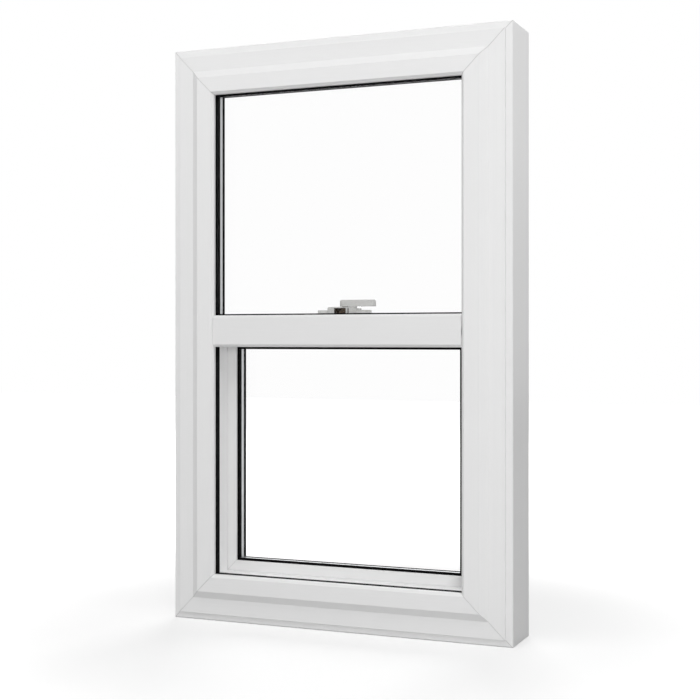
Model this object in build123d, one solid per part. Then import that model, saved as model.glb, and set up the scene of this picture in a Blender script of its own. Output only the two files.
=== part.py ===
from build123d import *

import os
from math import cos, radians, sin

# A white welded PVC single-hung sash window in its frame, seen from outside along +Y.
# X runs along the sill, Y from the outdoor face to the room, Z up from the sill's underside.
# Profiles are drawn by their distance in from the frame's outer edge and back from its front face.

# Whole frame
FRAME_WIDTH = 470.0
FRAME_HEIGHT = 762.0
FRAME_DEPTH = 84.0
PVC_WALL = 2.4
CUT_OVERRUN = 1.0

# Outdoor face of the frame profile, from the outer edge inwards
LIP_WIDTH = 9.0
LIP_SETBACK = 10.0
LIP_FALL = 0.6
LIP_CHAMFER = 1.4
FLAT_WIDTH = 21.0
FLAT_SETBACK = 6.5
BEVEL_WIDTH = 9.5
BAND_WIDTH = 20.0
EDGE_CHAMFER = 3.5
NOSE_SHARE = 0.1

# Glazing pocket, sash track and room-side leg of the frame profile
POCKET_HEIGHT = 15.0
LEG_SHARE = 0.07
LEG_REACH = 37.0
JAMB_TRACK_FLOOR = 11.0
HEAD_TRACK_FLOOR = 25.0
SILL_TRACK_FLOOR = 25.0
SILL_FALL = 1.5
CHAMBER_WEB = 2.0
CLIP_DEPTH = 2.0
CLIP_WIDTH = 1.8
CLIP_SETBACK = 1.4
CLIP_CLEARANCE = 0.2

# Fixed meeting rail between the two lights
RAIL_BASE = 364.6
RAIL_HEIGHT = 41.6
RAIL_CHAMFER = 3.3
RAIL_END_CLEARANCE = 0.2

# Sealed glazing units
PANE_THICKNESS = 3.0
GLASS_BITE = 12.0
BUTYL_THICKNESS = 3.0
SPACER_HEIGHT = 6.0
SPACER_WALL = 0.8
SIGHT_LIP = 1.8
BACK_DROP = 0.6
FRONT_GASKET_SHARE = 0.1
GASKET_BACK_DEPTH = 1.0
BLOCK_LENGTH = 60.0
BLOCK_INSET = 50.0

# Black seal and snap-in covers of the lower opening
SEAL_DEPTH = 11.5
SEAL_HEIGHT = 13.0
COVER_WALL = 1.8

# Glazing beads
BEAD_SHARE = 0.06
BEAD_NOSE = 1.6
BEAD_SLOPE = 3.4
BEAD_SHY = 3.0

# Sliding sash
SASH_CLEARANCE = 1.0
SASH_BACK_CLEARANCE = 3.0
SASH_BASE_CLEARANCE = 3.0
SASH_TRACK_ENTRY = 30.0
SASH_TOP_RISE = 0.8
STILE_WIDTH = 46.0
TOP_RAIL_WIDTH = 42.6
BOTTOM_RAIL_WIDTH = 48.6
SASH_CHAMFER = 1.0
SASH_NOSE_DEPTH = 3.5
SASH_GASKET_DEPTH = 3.5
SASH_SIGHT_LIP = 3.0
SASH_BACK_LIP = 1.6
SASH_BACK_GASKET_DEPTH = 1.5
SASH_BITE = 12.0
SASH_POCKET_HEIGHT = 13.0
SASH_BEAD_SHARE = 0.065
TRAVEL = 262.0

# Finger lift on the bottom rail
LIFT_BASE = 28.0
LIFT_REACH = 8.0
LIFT_THICKNESS = 2.6
LIFT_LIP = 5.0
LIFT_END_INSET = 24.0

# Pile strips and the bulb seal of the sash
PILE_SLOT_WIDTH = 4.0
PILE_SLOT_DEPTH = 1.2
PILE_SLOT_INSET = 2.0
PILE_BASE = 0.9
PILE_WIDTH = 2.4
PILE_CLEARANCE = 0.3
PILE_END_INSET = 2.0
BULB_CLEARANCE = 0.3
BULB_WALL = 0.5
BULB_FOOT_WIDTH = 5.0
BULB_FOOT_DEPTH = 1.0

# Coil balances in the jamb tracks
HOUSING_HEIGHT = 44.0
HOUSING_TAB = 9.0
HOUSING_CLEARANCE = 1.5
HOUSING_WALL = 2.0
HOUSING_SIDE_WALL = 1.9
HOUSING_CHAMFER = 3.0
COIL_INNER_RADIUS = 8.0
COIL_FIT = 0.08
COIL_SIDE_CLEARANCE = 0.4
COIL_POCKET_CLEARANCE = 0.6
STRIP_THICKNESS = 0.4
STRIP_WIDTH = 12.0
STRIP_GAP = 0.1
STRIP_CLEARANCE = 0.6
OUTER_TURN_ANGLE = 180.0
SHOE_HEIGHT = 40.0
SHOE_RISE = 3.0
SHOE_REACH = 15.5
SHOE_CLEARANCE = 0.5
SHOE_CHAMFER = 2.0
SHOE_SLOT_DEPTH = 6.0
STOP_CLEARANCE = 0.6

# Pivot bars that tie the sash to the balance shoes
PIVOT_PLATE_THICKNESS = 2.0
PIVOT_PLATE_WIDTH = 14.0
PIVOT_PLATE_HEIGHT = 36.0
PIVOT_RADIUS = 4.5
PIVOT_LENGTH = 10.0
PIVOT_FIT = 0.1

# Screws: shank radius, shank length, head radius, head height
TRACK_SCREW = (2.0, 9.0, 3.6, 1.6)
PLATE_SCREW = (1.6, 6.0, 2.8, 0.5)
LOCK_SCREW = (1.8, 14.0, 3.2, 1.6)
KEEPER_SCREW = (1.2, 7.0, 2.1, 0.9)
SCREW_CLEARANCE = 0.15
SCREW_SIDES = 8

# Cam lock on the sash's top rail, heights from the rail
LOCK_CENTRE = -6.0
LOCK_LENGTH = 73.2
LOCK_DEPTH = 25.0
LOCK_SETBACK = 1.5
WING_HEIGHT = 5.8
WING_DEPTH = 18.0
WING_ROUND = 6.0
BODY_LENGTH = 40.2
BODY_HEIGHT = 10.0
BODY_ROUND = 3.0
BODY_CHAMFER = 1.4
LOCK_ROOF = 1.6
LOCK_PIVOT_X = -2.5
LOCK_PIVOT_SETBACK = 6.5
LOCK_SCREW_INSET = 7.0
CAM_RADIUS = 14.0
CAM_WALL = 2.3
CAM_HUB_RADIUS = 6.0
CAM_SHAFT_RADIUS = 4.0
CAM_SHAFT_FIT = 0.08
CAM_BASE = 1.9
CAM_WEB = 2.0
CAM_CLEARANCE = 0.5
CAM_FIRST_ANGLE = 22.0
CAM_LAST_ANGLE = 112.0
CAM_WINDOW_RIGHT = 0.8
WINDOW_WALL = 1.0
SLOT_LEFT = 3.5
SLOT_WIDTH = 1.4
LEVER_LENGTH = 43.0
LEVER_WIDTH = 9.0
LEVER_HUB_RADIUS = 7.0
LEVER_THICKNESS = 8.7
LEVER_CLEARANCE = 0.4
LEVER_CHAMFER = 1.2

# Keeper on the meeting rail's room-side leg
KEEPER_LENGTH = 44.0
KEEPER_THICKNESS = 1.2
KEEPER_LIP_WALL = 1.5
KEEPER_LIP_HEIGHT = 5.6
KEEPER_GAP = 0.4
KEEPER_FIRST_ANGLE = 249.0
KEEPER_LAST_ANGLE = 284.0
KEEPER_SCREW_INSET = 6.0

# Places worked out from the sizes above
FRONT_Y = -FRAME_DEPTH / 2
NOSE_DEPTH = FRAME_DEPTH * NOSE_SHARE
LEG_THICKNESS = FRAME_DEPTH * LEG_SHARE
GASKET_FRONT_DEPTH = FRAME_DEPTH * FRONT_GASKET_SHARE
BEAD_DEPTH = FRAME_DEPTH * BEAD_SHARE
SASH_BEAD_DEPTH = FRAME_DEPTH * SASH_BEAD_SHARE
FLAT_END = LIP_WIDTH + FLAT_WIDTH
BEVEL_END = FLAT_END + BEVEL_WIDTH
BAND_END = BEVEL_END + BAND_WIDTH
SIGHT = BAND_END + EDGE_CHAMFER
POCKET_FLOOR = SIGHT - POCKET_HEIGHT
UNIT_FRONT = NOSE_DEPTH + GASKET_FRONT_DEPTH
SASH_UNIT_FRONT = SASH_NOSE_DEPTH + SASH_GASKET_DEPTH
# The two glazing units share the depth that the profiles, seals and beads leave
BEHIND_UNIT = GASKET_BACK_DEPTH + BEAD_DEPTH
BEHIND_SASH_UNIT = SASH_BACK_GASKET_DEPTH + SASH_BEAD_DEPTH
TRACK_ROOM = SASH_CLEARANCE + SASH_BACK_CLEARANCE
PROFILE_DEPTH = UNIT_FRONT + BEHIND_UNIT + SASH_UNIT_FRONT + BEHIND_SASH_UNIT + TRACK_ROOM + LEG_THICKNESS
UNIT_DEPTH = (FRAME_DEPTH - PROFILE_DEPTH) / 2
PANE_GAP = UNIT_DEPTH - PANE_THICKNESS - PANE_THICKNESS
SPACER_WIDTH = PANE_GAP - BUTYL_THICKNESS - BUTYL_THICKNESS
UNIT_BACK = UNIT_FRONT + UNIT_DEPTH
BEAD_FRONT = UNIT_BACK + GASKET_BACK_DEPTH
TRACK_FRONT = BEAD_FRONT + BEAD_DEPTH
TRACK_BACK = FRAME_DEPTH - LEG_THICKNESS
CLIP_BACK = TRACK_FRONT - CLIP_SETBACK
CLIP_FRONT = CLIP_BACK - CLIP_WIDTH
RAIL_TOP = RAIL_BASE + RAIL_HEIGHT
SASH_FRONT = TRACK_FRONT + SASH_CLEARANCE
SASH_BACK = TRACK_BACK - SASH_BACK_CLEARANCE
SASH_DEPTH = SASH_BACK - SASH_FRONT
SASH_UNIT_BACK = SASH_UNIT_FRONT + UNIT_DEPTH
SASH_BEAD_FRONT = SASH_DEPTH - SASH_BEAD_DEPTH
SASH_BASE = SILL_TRACK_FLOOR + SASH_BASE_CLEARANCE
SASH_TOP = RAIL_TOP + SASH_TOP_RISE
BULB_RADIUS = (SASH_BASE_CLEARANCE - BULB_CLEARANCE) / 2
HALF_WIDTH = FRAME_WIDTH / 2
FRAME_RECT = (-HALF_WIDTH, HALF_WIDTH, 0, FRAME_HEIGHT)
GLASS_EDGE = SIGHT - GLASS_BITE
UPPER_GLASS = (
    GLASS_EDGE - HALF_WIDTH,
    HALF_WIDTH - GLASS_EDGE,
    RAIL_TOP - GLASS_BITE,
    FRAME_HEIGHT - GLASS_EDGE,
)
SEAL_EDGE = SIGHT - SEAL_HEIGHT
SEAL_RECT = (
    SEAL_EDGE - HALF_WIDTH,
    HALF_WIDTH - SEAL_EDGE,
    SEAL_EDGE,
    RAIL_BASE + SEAL_HEIGHT,
)
SASH_RECT = (SASH_TRACK_ENTRY - HALF_WIDTH, HALF_WIDTH - SASH_TRACK_ENTRY, SASH_BASE, SASH_TOP)
SASH_WIDTHS = {
    "left": STILE_WIDTH,
    "right": STILE_WIDTH,
    "head": TOP_RAIL_WIDTH,
    "sill": BOTTOM_RAIL_WIDTH,
}
SASH_GLASS = (
    SASH_RECT[0] + STILE_WIDTH - SASH_BITE,
    SASH_RECT[1] - STILE_WIDTH + SASH_BITE,
    SASH_RECT[2] + BOTTOM_RAIL_WIDTH - SASH_BITE,
    SASH_RECT[3] - TOP_RAIL_WIDTH + SASH_BITE,
)
STRIP_START = JAMB_TRACK_FLOOR + HOUSING_WALL + COIL_SIDE_CLEARANCE
HOUSING_REACH = HOUSING_WALL + COIL_SIDE_CLEARANCE + STRIP_WIDTH + COIL_SIDE_CLEARANCE
HOUSING_DEPTH = TRACK_BACK - TRACK_FRONT - HOUSING_CLEARANCE - HOUSING_CLEARANCE
COIL_RADIUS = HOUSING_DEPTH / 2 - HOUSING_SIDE_WALL - COIL_POCKET_CLEARANCE
SHOE_BASE = SASH_BASE + SHOE_RISE
SHOE_TOP = SHOE_BASE + SHOE_HEIGHT
HOUSING_BASE = SHOE_TOP + TRAVEL + STOP_CLEARANCE
HOUSING_TOP = HOUSING_BASE + HOUSING_HEIGHT
COIL_SETBACK = (TRACK_FRONT + TRACK_BACK) / 2
COIL_Y = FRONT_Y + COIL_SETBACK
COIL_Z = HOUSING_BASE + HOUSING_WALL + COIL_POCKET_CLEARANCE + COIL_RADIUS
PLATE_FACE = SASH_TRACK_ENTRY - PIVOT_PLATE_THICKNESS
PIVOT_SETBACK = SASH_FRONT + SASH_DEPTH / 2
PIVOT_Y = FRONT_Y + PIVOT_SETBACK
PIVOT_Z = SHOE_BASE + SHOE_HEIGHT / 2
LOCK_Y = FRONT_Y + SASH_FRONT + LOCK_SETBACK + LOCK_DEPTH / 2
LOCK_PIVOT_Y = FRONT_Y + SASH_FRONT + LOCK_SETBACK + LOCK_PIVOT_SETBACK
LEVER_BASE = BODY_HEIGHT + LEVER_CLEARANCE


# Building blocks
def block(rect, front, depth):
    """Plain plate over a rectangle in X and Z, its front face set back from the frame's."""
    x0, x1, z0, z1 = rect
    middle = Pos((x0 + x1) / 2, FRONT_Y + front + depth / 2, (z0 + z1) / 2)
    return middle * Box(x1 - x0, depth, z1 - z0)


def shrink(rect, inset):
    """The rectangle with every side moved in."""
    return (rect[0] + inset, rect[1] - inset, rect[2] + inset, rect[3] - inset)


def ring(rect, width, front, depth):
    """Closed four-sided loop of rectangular section, outer edge on the rectangle."""
    return block(rect, front, depth) - block(shrink(rect, width), front, depth)


def outline(points):
    """Closed flat face through the given points."""
    return make_face(Polyline(*points, close=True))


def rectangle_points(low_d, high_d, low_t, high_t):
    """Corner points of a rectangle in a profile drawing."""
    return [(low_d, low_t), (high_d, low_t), (high_d, high_t), (low_d, high_t)]


def section(points, chambers=()):
    """Profile face with its hollow chambers cut out."""
    face = outline(points)
    for chamber in chambers:
        face -= outline(chamber)
    return face


def side_plane(side, rect):
    """Drawing plane of one side (distance in, distance back) and that side's length."""
    x0, x1, z0, z1 = rect
    if side == "left":
        return Plane((x0, FRONT_Y, z0), x_dir=(1, 0, 0), z_dir=(0, 0, 1)), z1 - z0
    if side == "right":
        return Plane((x1, FRONT_Y, z1), x_dir=(-1, 0, 0), z_dir=(0, 0, -1)), z1 - z0
    if side == "head":
        return Plane((x0, FRONT_Y, z1), x_dir=(0, 0, -1), z_dir=(1, 0, 0)), x1 - x0
    return Plane((x1, FRONT_Y, z0), x_dir=(0, 0, 1), z_dir=(-1, 0, 0)), x1 - x0


def side_bar(side, rect, face):
    """Profile run square-ended along one whole side of a rectangle."""
    plane, length = side_plane(side, rect)
    return extrude(plane * face, amount=length, dir=plane.z_dir)


def mitre_block(side, rect, widths):
    """Wedge that keeps one side of a four-sided frame, out to its corner joints."""
    x0, x1, z0, z1 = rect
    inner_x0, inner_x1 = x0 + widths["left"], x1 - widths["right"]
    inner_z0, inner_z1 = z0 + widths["sill"], z1 - widths["head"]
    corners = {
        "left": [(x0, z0), (inner_x0, inner_z0), (inner_x0, inner_z1), (x0, z1)],
        "right": [(x1, z0), (inner_x1, inner_z0), (inner_x1, inner_z1), (x1, z1)],
        "head": [(x0, z1), (inner_x0, inner_z1), (inner_x1, inner_z1), (x1, z1)],
        "sill": [(x0, z0), (inner_x0, inner_z0), (inner_x1, inner_z0), (x1, z0)],
    }[side]
    face = outline([(x, FRONT_Y - CUT_OVERRUN, z) for x, z in corners])
    return extrude(face, amount=FRAME_DEPTH + CUT_OVERRUN + CUT_OVERRUN, dir=(0, 1, 0))


def mitred_bar(side, rect, face, widths):
    """Profile run along one side of a rectangle and mitred at both corners."""
    return side_bar(side, rect, face) & mitre_block(side, rect, widths)


def even_widths(width):
    """Same face width on all four sides."""
    return {side: width for side in ("left", "right", "head", "sill")}


def screw(size, place, direction):
    """Screw with the underside of its head at place, shank along direction, drawn with few sides."""
    radius, length, head_radius, head_height = size
    seat = Plane(place, z_dir=direction)
    shank = extrude(seat * RegularPolygon(radius, SCREW_SIDES), amount=length, dir=seat.z_dir)
    head_face = seat * RegularPolygon(head_radius, SCREW_SIDES)
    return shank + extrude(head_face, amount=-head_height, dir=seat.z_dir)


def screw_hole(size, place, direction, clearance=0):
    """Cut for a screw's shank through whatever its head rests on."""
    radius, length = size[0], size[1]
    seat = Plane(place, z_dir=direction)
    hole = seat * RegularPolygon(radius + clearance, SCREW_SIDES)
    cut = extrude(hole, amount=length, dir=seat.z_dir)
    return cut + extrude(hole, amount=-CUT_OVERRUN, dir=seat.z_dir)


def both_sides(solid):
    """A left-hand piece and its mirror image on the right."""
    return solid, mirror(solid, about=Plane.YZ)


# Frame bars
def frame_section(track_floor, fall=0):
    """Hollow frame profile: stepped outdoor face, glazing pocket, sash track and room-side leg."""
    points = [
        (0, LIP_SETBACK + LIP_CHAMFER),
        (LIP_CHAMFER, LIP_SETBACK),
        (LIP_WIDTH, LIP_SETBACK - LIP_FALL),
        (LIP_WIDTH, FLAT_SETBACK),
        (FLAT_END, FLAT_SETBACK),
        (BEVEL_END, 0),
        (BAND_END, 0),
        (SIGHT, EDGE_CHAMFER),
        (SIGHT, NOSE_DEPTH),
        (POCKET_FLOOR, NOSE_DEPTH),
        (POCKET_FLOOR, CLIP_FRONT),
        (POCKET_FLOOR - CLIP_DEPTH, CLIP_FRONT),
        (POCKET_FLOOR - CLIP_DEPTH, CLIP_BACK),
        (POCKET_FLOOR, CLIP_BACK),
        (POCKET_FLOOR, TRACK_FRONT),
        (track_floor - fall, TRACK_FRONT),
        (track_floor, TRACK_BACK),
        (LEG_REACH, TRACK_BACK),
        (LEG_REACH, FRAME_DEPTH),
        (0, FRAME_DEPTH),
    ]
    nose_back = NOSE_DEPTH - PVC_WALL
    slope_back = FLAT_SETBACK + PVC_WALL
    nose = [
        (FLAT_END + PVC_WALL / 2, slope_back),
        (BEVEL_END + PVC_WALL / 2, PVC_WALL),
        (BAND_END - PVC_WALL / 2, PVC_WALL),
        (SIGHT - PVC_WALL, EDGE_CHAMFER + PVC_WALL / 2),
        (SIGHT - PVC_WALL, nose_back),
        (POCKET_FLOOR - PVC_WALL, nose_back),
        (BEVEL_END, slope_back),
    ]
    pocket_low = POCKET_FLOOR / 2
    rib_front = CLIP_FRONT - CLIP_SETBACK
    floor_low = track_floor - fall - PVC_WALL
    track_middle = (TRACK_FRONT + TRACK_BACK) / 2
    leg_front = FRAME_DEPTH - PVC_WALL
    outer_face = LIP_SETBACK + PVC_WALL
    chambers = [
        nose,
        rectangle_points(PVC_WALL, pocket_low - CHAMBER_WEB / 2, outer_face, rib_front),
        rectangle_points(
            pocket_low + CHAMBER_WEB / 2, POCKET_FLOOR - PVC_WALL, slope_back + PVC_WALL, rib_front
        ),
        rectangle_points(
            PVC_WALL, floor_low, rib_front + CHAMBER_WEB, track_middle - CHAMBER_WEB / 2
        ),
        rectangle_points(PVC_WALL, floor_low, track_middle + CHAMBER_WEB / 2, leg_front),
    ]
    return section(points, chambers)


def frame_bars():
    """The four welded frame bars, mitred at the corners, with the balance screw holes."""
    widths = even_widths(SIGHT)
    jamb = frame_section(JAMB_TRACK_FLOOR)
    sill = frame_section(SILL_TRACK_FLOOR, SILL_FALL)
    left = mitred_bar("left", FRAME_RECT, jamb, widths)
    for place in balance_screw_places():
        left -= screw_hole(TRACK_SCREW, place, (-1, 0, 0))
    left, right = both_sides(left)
    return {
        "frame_head": mitred_bar("head", FRAME_RECT, frame_section(HEAD_TRACK_FLOOR), widths),
        "frame_sill": mitred_bar("sill", FRAME_RECT, sill, widths),
        "frame_jamb_left": left,
        "frame_jamb_right": right,
    }


def rail_bar(points, end_gap):
    """Profile drawn as (height above the rail's base, distance back), run between the jambs."""
    half_length = HALF_WIDTH - end_gap
    plane = Plane((half_length, FRONT_Y, RAIL_BASE), x_dir=(0, 0, 1), z_dir=(-1, 0, 0))
    return extrude(plane * points, amount=half_length + half_length, dir=plane.z_dir)


def meeting_rail():
    """Fixed rail: chamfered nose, channel for the upper unit above, seal channel below."""
    channel_floor = RAIL_HEIGHT - POCKET_HEIGHT
    leg_front = TRACK_FRONT - BEAD_DEPTH
    seal_back = NOSE_DEPTH + SEAL_DEPTH
    points = [
        (0, RAIL_CHAMFER),
        (RAIL_CHAMFER, 0),
        (RAIL_HEIGHT - RAIL_CHAMFER, 0),
        (RAIL_HEIGHT, RAIL_CHAMFER),
        (RAIL_HEIGHT, NOSE_DEPTH),
        (channel_floor, NOSE_DEPTH),
        (channel_floor, leg_front),
        (RAIL_HEIGHT, leg_front),
        (RAIL_HEIGHT, TRACK_FRONT),
        (0, TRACK_FRONT),
        (0, seal_back),
        (SEAL_HEIGHT, seal_back),
        (SEAL_HEIGHT, NOSE_DEPTH),
        (0, NOSE_DEPTH),
    ]
    chamber_top = channel_floor - PVC_WALL
    chamber_split = seal_back + PVC_WALL / 2
    chambers = [
        rectangle_points(
            SEAL_HEIGHT + PVC_WALL, chamber_top, PVC_WALL, chamber_split - CHAMBER_WEB / 2
        ),
        rectangle_points(
            PVC_WALL, chamber_top, chamber_split + CHAMBER_WEB, TRACK_FRONT - PVC_WALL
        ),
    ]
    rail = rail_bar(section(points, chambers), POCKET_FLOOR + RAIL_END_CLEARANCE)
    end_width = POCKET_HEIGHT
    for x0 in (SIGHT - HALF_WIDTH - end_width, HALF_WIDTH - SIGHT):
        end_rect = (x0, x0 + end_width, RAIL_BASE - CUT_OVERRUN, RAIL_TOP + CUT_OVERRUN)
        rail -= block(end_rect, -CUT_OVERRUN, NOSE_DEPTH + CUT_OVERRUN + RAIL_END_CLEARANCE)
    for place in keeper_screw_places():
        rail -= screw_hole(KEEPER_SCREW, place, (0, 0, -1))
    return rail


# Upper light and the lower opening
def glazing_unit(prefix, rect, front, seal_width):
    """Two panes, an aluminium spacer loop and the black edge seal of one sealed unit."""
    gap_front = front + PANE_THICKNESS
    spacer_rect = shrink(rect, seal_width - SPACER_HEIGHT)
    spacer_front = gap_front + BUTYL_THICKNESS
    spacer = ring(spacer_rect, SPACER_HEIGHT, spacer_front, SPACER_WIDTH)
    spacer -= ring(
        shrink(spacer_rect, SPACER_WALL),
        SPACER_HEIGHT - SPACER_WALL - SPACER_WALL,
        spacer_front + SPACER_WALL,
        SPACER_WIDTH - SPACER_WALL - SPACER_WALL,
    )
    seal = ring(rect, seal_width, gap_front, PANE_GAP)
    seal -= ring(spacer_rect, SPACER_HEIGHT, spacer_front, SPACER_WIDTH)
    return {
        prefix + "_pane_outer": block(rect, front, PANE_THICKNESS),
        prefix + "_pane_inner": block(rect, gap_front + PANE_GAP, PANE_THICKNESS),
        prefix + "_spacer": spacer,
        prefix + "_edge_seal": seal,
    }


def setting_blocks(rect, front, height):
    """Two packers under a sealed unit, near its lower corners."""
    x0, x1, z0, _ = rect
    starts = (x0 + BLOCK_INSET, x1 - BLOCK_INSET - BLOCK_LENGTH)
    places = [(start, start + BLOCK_LENGTH, z0 - height, z0) for start in starts]
    return Compound(children=[block(place, front, UNIT_DEPTH) for place in places])


def bead_section(floor, front, back, reach, groove_front, groove_back, groove_depth):
    """Snap-in bead: clip foot, flat seat on the pocket floor and a sloped room-side face."""
    foot_front = groove_front + CLIP_CLEARANCE
    foot_back = groove_back - CLIP_CLEARANCE
    foot = floor - groove_depth + CLIP_CLEARANCE
    return section(
        [
            (floor, front),
            (reach, front),
            (reach, front + BEAD_NOSE),
            (reach - BEAD_SLOPE, back),
            (floor, back),
            (floor, foot_back),
            (foot, foot_back),
            (foot, foot_front),
            (floor, foot_front),
        ]
    )


def upper_beads():
    """Beads at the head and both jambs, standing on the meeting rail's room-side leg."""
    reach = SIGHT - BACK_DROP - BEAD_SHY
    face = bead_section(
        POCKET_FLOOR, BEAD_FRONT, TRACK_FRONT, reach, CLIP_FRONT, CLIP_BACK, CLIP_DEPTH
    )
    widths = even_widths(reach)
    above_rail = block((-HALF_WIDTH, HALF_WIDTH, RAIL_TOP, FRAME_HEIGHT), 0, FRAME_DEPTH)
    return {
        "upper_bead_head": mitred_bar("head", FRAME_RECT, face, widths),
        "upper_bead_left": mitred_bar("left", FRAME_RECT, face, widths) & above_rail,
        "upper_bead_right": mitred_bar("right", FRAME_RECT, face, widths) & above_rail,
    }


def lower_covers():
    """Hollow snap-in covers that close the unused glazing pocket round the lower opening."""
    front = NOSE_DEPTH + SEAL_DEPTH
    foot_front = CLIP_FRONT + CLIP_CLEARANCE
    foot_back = CLIP_BACK - CLIP_CLEARANCE
    foot = POCKET_FLOOR - CLIP_DEPTH + CLIP_CLEARANCE
    points = [
        (POCKET_FLOOR, front),
        (SIGHT, front),
        (SIGHT, TRACK_FRONT),
        (POCKET_FLOOR, TRACK_FRONT),
        (POCKET_FLOOR, foot_back),
        (foot, foot_back),
        (foot, foot_front),
        (POCKET_FLOOR, foot_front),
    ]
    chamber = rectangle_points(
        POCKET_FLOOR + COVER_WALL, SIGHT - COVER_WALL, front + COVER_WALL, TRACK_FRONT - COVER_WALL
    )
    face = section(points, [chamber])
    widths = even_widths(SIGHT)
    below_rail = block((-HALF_WIDTH, HALF_WIDTH, 0, RAIL_BASE), 0, FRAME_DEPTH)
    return {
        "cover_left": mitred_bar("left", FRAME_RECT, face, widths) & below_rail,
        "cover_right": mitred_bar("right", FRAME_RECT, face, widths) & below_rail,
        "cover_sill": mitred_bar("sill", FRAME_RECT, face, widths),
    }


def upper_light():
    """Fixed sealed unit with its gaskets, packers and beads."""
    back_width = GLASS_BITE - BACK_DROP
    pieces = glazing_unit("upper", UPPER_GLASS, UNIT_FRONT, back_width)
    pieces["upper_front_gasket"] = ring(
        UPPER_GLASS, GLASS_BITE + SIGHT_LIP, NOSE_DEPTH, GASKET_FRONT_DEPTH
    )
    pieces["upper_back_gasket"] = ring(UPPER_GLASS, back_width, UNIT_BACK, GASKET_BACK_DEPTH)
    pieces["upper_setting_blocks"] = setting_blocks(
        UPPER_GLASS, UNIT_FRONT, POCKET_HEIGHT - GLASS_BITE
    )
    pieces["lower_opening_seal"] = ring(SEAL_RECT, SEAL_HEIGHT, NOSE_DEPTH, SEAL_DEPTH)
    pieces.update(upper_beads())
    pieces.update(lower_covers())
    return pieces


# Sliding sash
def sash_section(width):
    """Hollow sash profile: front leg, glazing pocket open to the room, pile slots on both faces."""
    floor = width - SASH_POCKET_HEIGHT
    groove_front = SASH_BEAD_FRONT + CLIP_SETBACK
    groove_back = groove_front + CLIP_WIDTH
    slot_end = PILE_SLOT_INSET + PILE_SLOT_WIDTH
    points = [
        (0, 0),
        (PILE_SLOT_INSET, 0),
        (PILE_SLOT_INSET, PILE_SLOT_DEPTH),
        (slot_end, PILE_SLOT_DEPTH),
        (slot_end, 0),
        (width - SASH_CHAMFER, 0),
        (width, SASH_CHAMFER),
        (width, SASH_NOSE_DEPTH),
        (floor, SASH_NOSE_DEPTH),
        (floor, groove_front),
        (floor - CLIP_DEPTH, groove_front),
        (floor - CLIP_DEPTH, groove_back),
        (floor, groove_back),
        (floor, SASH_DEPTH),
        (slot_end, SASH_DEPTH),
        (slot_end, SASH_DEPTH - PILE_SLOT_DEPTH),
        (PILE_SLOT_INSET, SASH_DEPTH - PILE_SLOT_DEPTH),
        (PILE_SLOT_INSET, SASH_DEPTH),
        (0, SASH_DEPTH),
    ]
    low = PILE_SLOT_DEPTH + PVC_WALL
    high = SASH_DEPTH - low
    middle = SASH_DEPTH / 2
    inner = floor - CLIP_DEPTH - PVC_WALL / 2
    chambers = [
        rectangle_points(PVC_WALL, inner, low, middle - CHAMBER_WEB / 2),
        rectangle_points(PVC_WALL, inner, middle + CHAMBER_WEB / 2, high),
    ]
    return Pos(0, SASH_FRONT) * section(points, chambers)


def sash_lift():
    """Finger lift along the bottom rail's room face: a shelf with a turned-up lip."""
    half = SASH_RECT[1] - LIFT_END_INSET
    base = SASH_BASE + LIFT_BASE
    shelf = block((-half, half, base, base + LIFT_THICKNESS), SASH_BACK, LIFT_REACH)
    lip_front = SASH_BACK + LIFT_REACH - LIFT_THICKNESS
    lip = block((-half, half, base, base + LIFT_LIP), lip_front, LIFT_THICKNESS)
    return shelf + lip


def sash_bars():
    """Four mitred sash bars, with the lift on the bottom rail and holes for the fittings."""
    bars = {}
    for side in ("left", "right", "head", "sill"):
        face = sash_section(SASH_WIDTHS[side])
        bars[side] = mitred_bar(side, SASH_RECT, face, SASH_WIDTHS)
    for place in lock_screw_places():
        bars["head"] -= screw_hole(LOCK_SCREW, place, (0, 0, -1))
    for place in plate_screw_places():
        bars["left"] -= screw_hole(PLATE_SCREW, place, (1, 0, 0))
    left, right = both_sides(bars["left"])
    return {
        "sash_stile_left": left,
        "sash_stile_right": right,
        "sash_top_rail": bars["head"],
        "sash_bottom_rail": bars["sill"] + sash_lift(),
    }


def sash_beads():
    """Beads on the room side of the sash unit, mitred at the corners."""
    beads = {}
    groove_front = SASH_BEAD_FRONT + CLIP_SETBACK
    names = {"left": "left", "right": "right", "head": "top", "sill": "bottom"}
    for side, width in SASH_WIDTHS.items():
        face = bead_section(
            width - SASH_POCKET_HEIGHT,
            SASH_BEAD_FRONT,
            SASH_DEPTH,
            width + SASH_BACK_LIP - BEAD_SHY,
            groove_front,
            groove_front + CLIP_WIDTH,
            CLIP_DEPTH,
        )
        beads["sash_bead_" + names[side]] = mitred_bar(
            side, SASH_RECT, Pos(0, SASH_FRONT) * face, SASH_WIDTHS
        )
    return beads


def pile_strip(rect, slot_floor, reach):
    """Pile strip: a flat backing in the slot with a narrower brush standing out of it."""
    x0, x1, z0, z1 = rect
    backing = block(rect, min(slot_floor, slot_floor + PILE_BASE), PILE_BASE)
    depth = abs(reach - slot_floor)
    if x1 - x0 > z1 - z0:
        trim = (z1 - z0 - PILE_WIDTH) / 2
        brush = block((x0, x1, z0 + trim, z1 - trim), min(slot_floor, reach), depth)
    else:
        trim = (x1 - x0 - PILE_WIDTH) / 2
        brush = block((x0 + trim, x1 - trim, z0, z1), min(slot_floor, reach), depth)
    return backing + brush


def stile_pile_rect():
    """Slot rectangle of the left stile's pile strips."""
    start = SASH_RECT[0] + PILE_SLOT_INSET
    end_trim = STILE_WIDTH + PILE_END_INSET
    return (start, start + PILE_SLOT_WIDTH, SASH_RECT[2] + end_trim, SASH_RECT[3] - end_trim)


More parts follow.
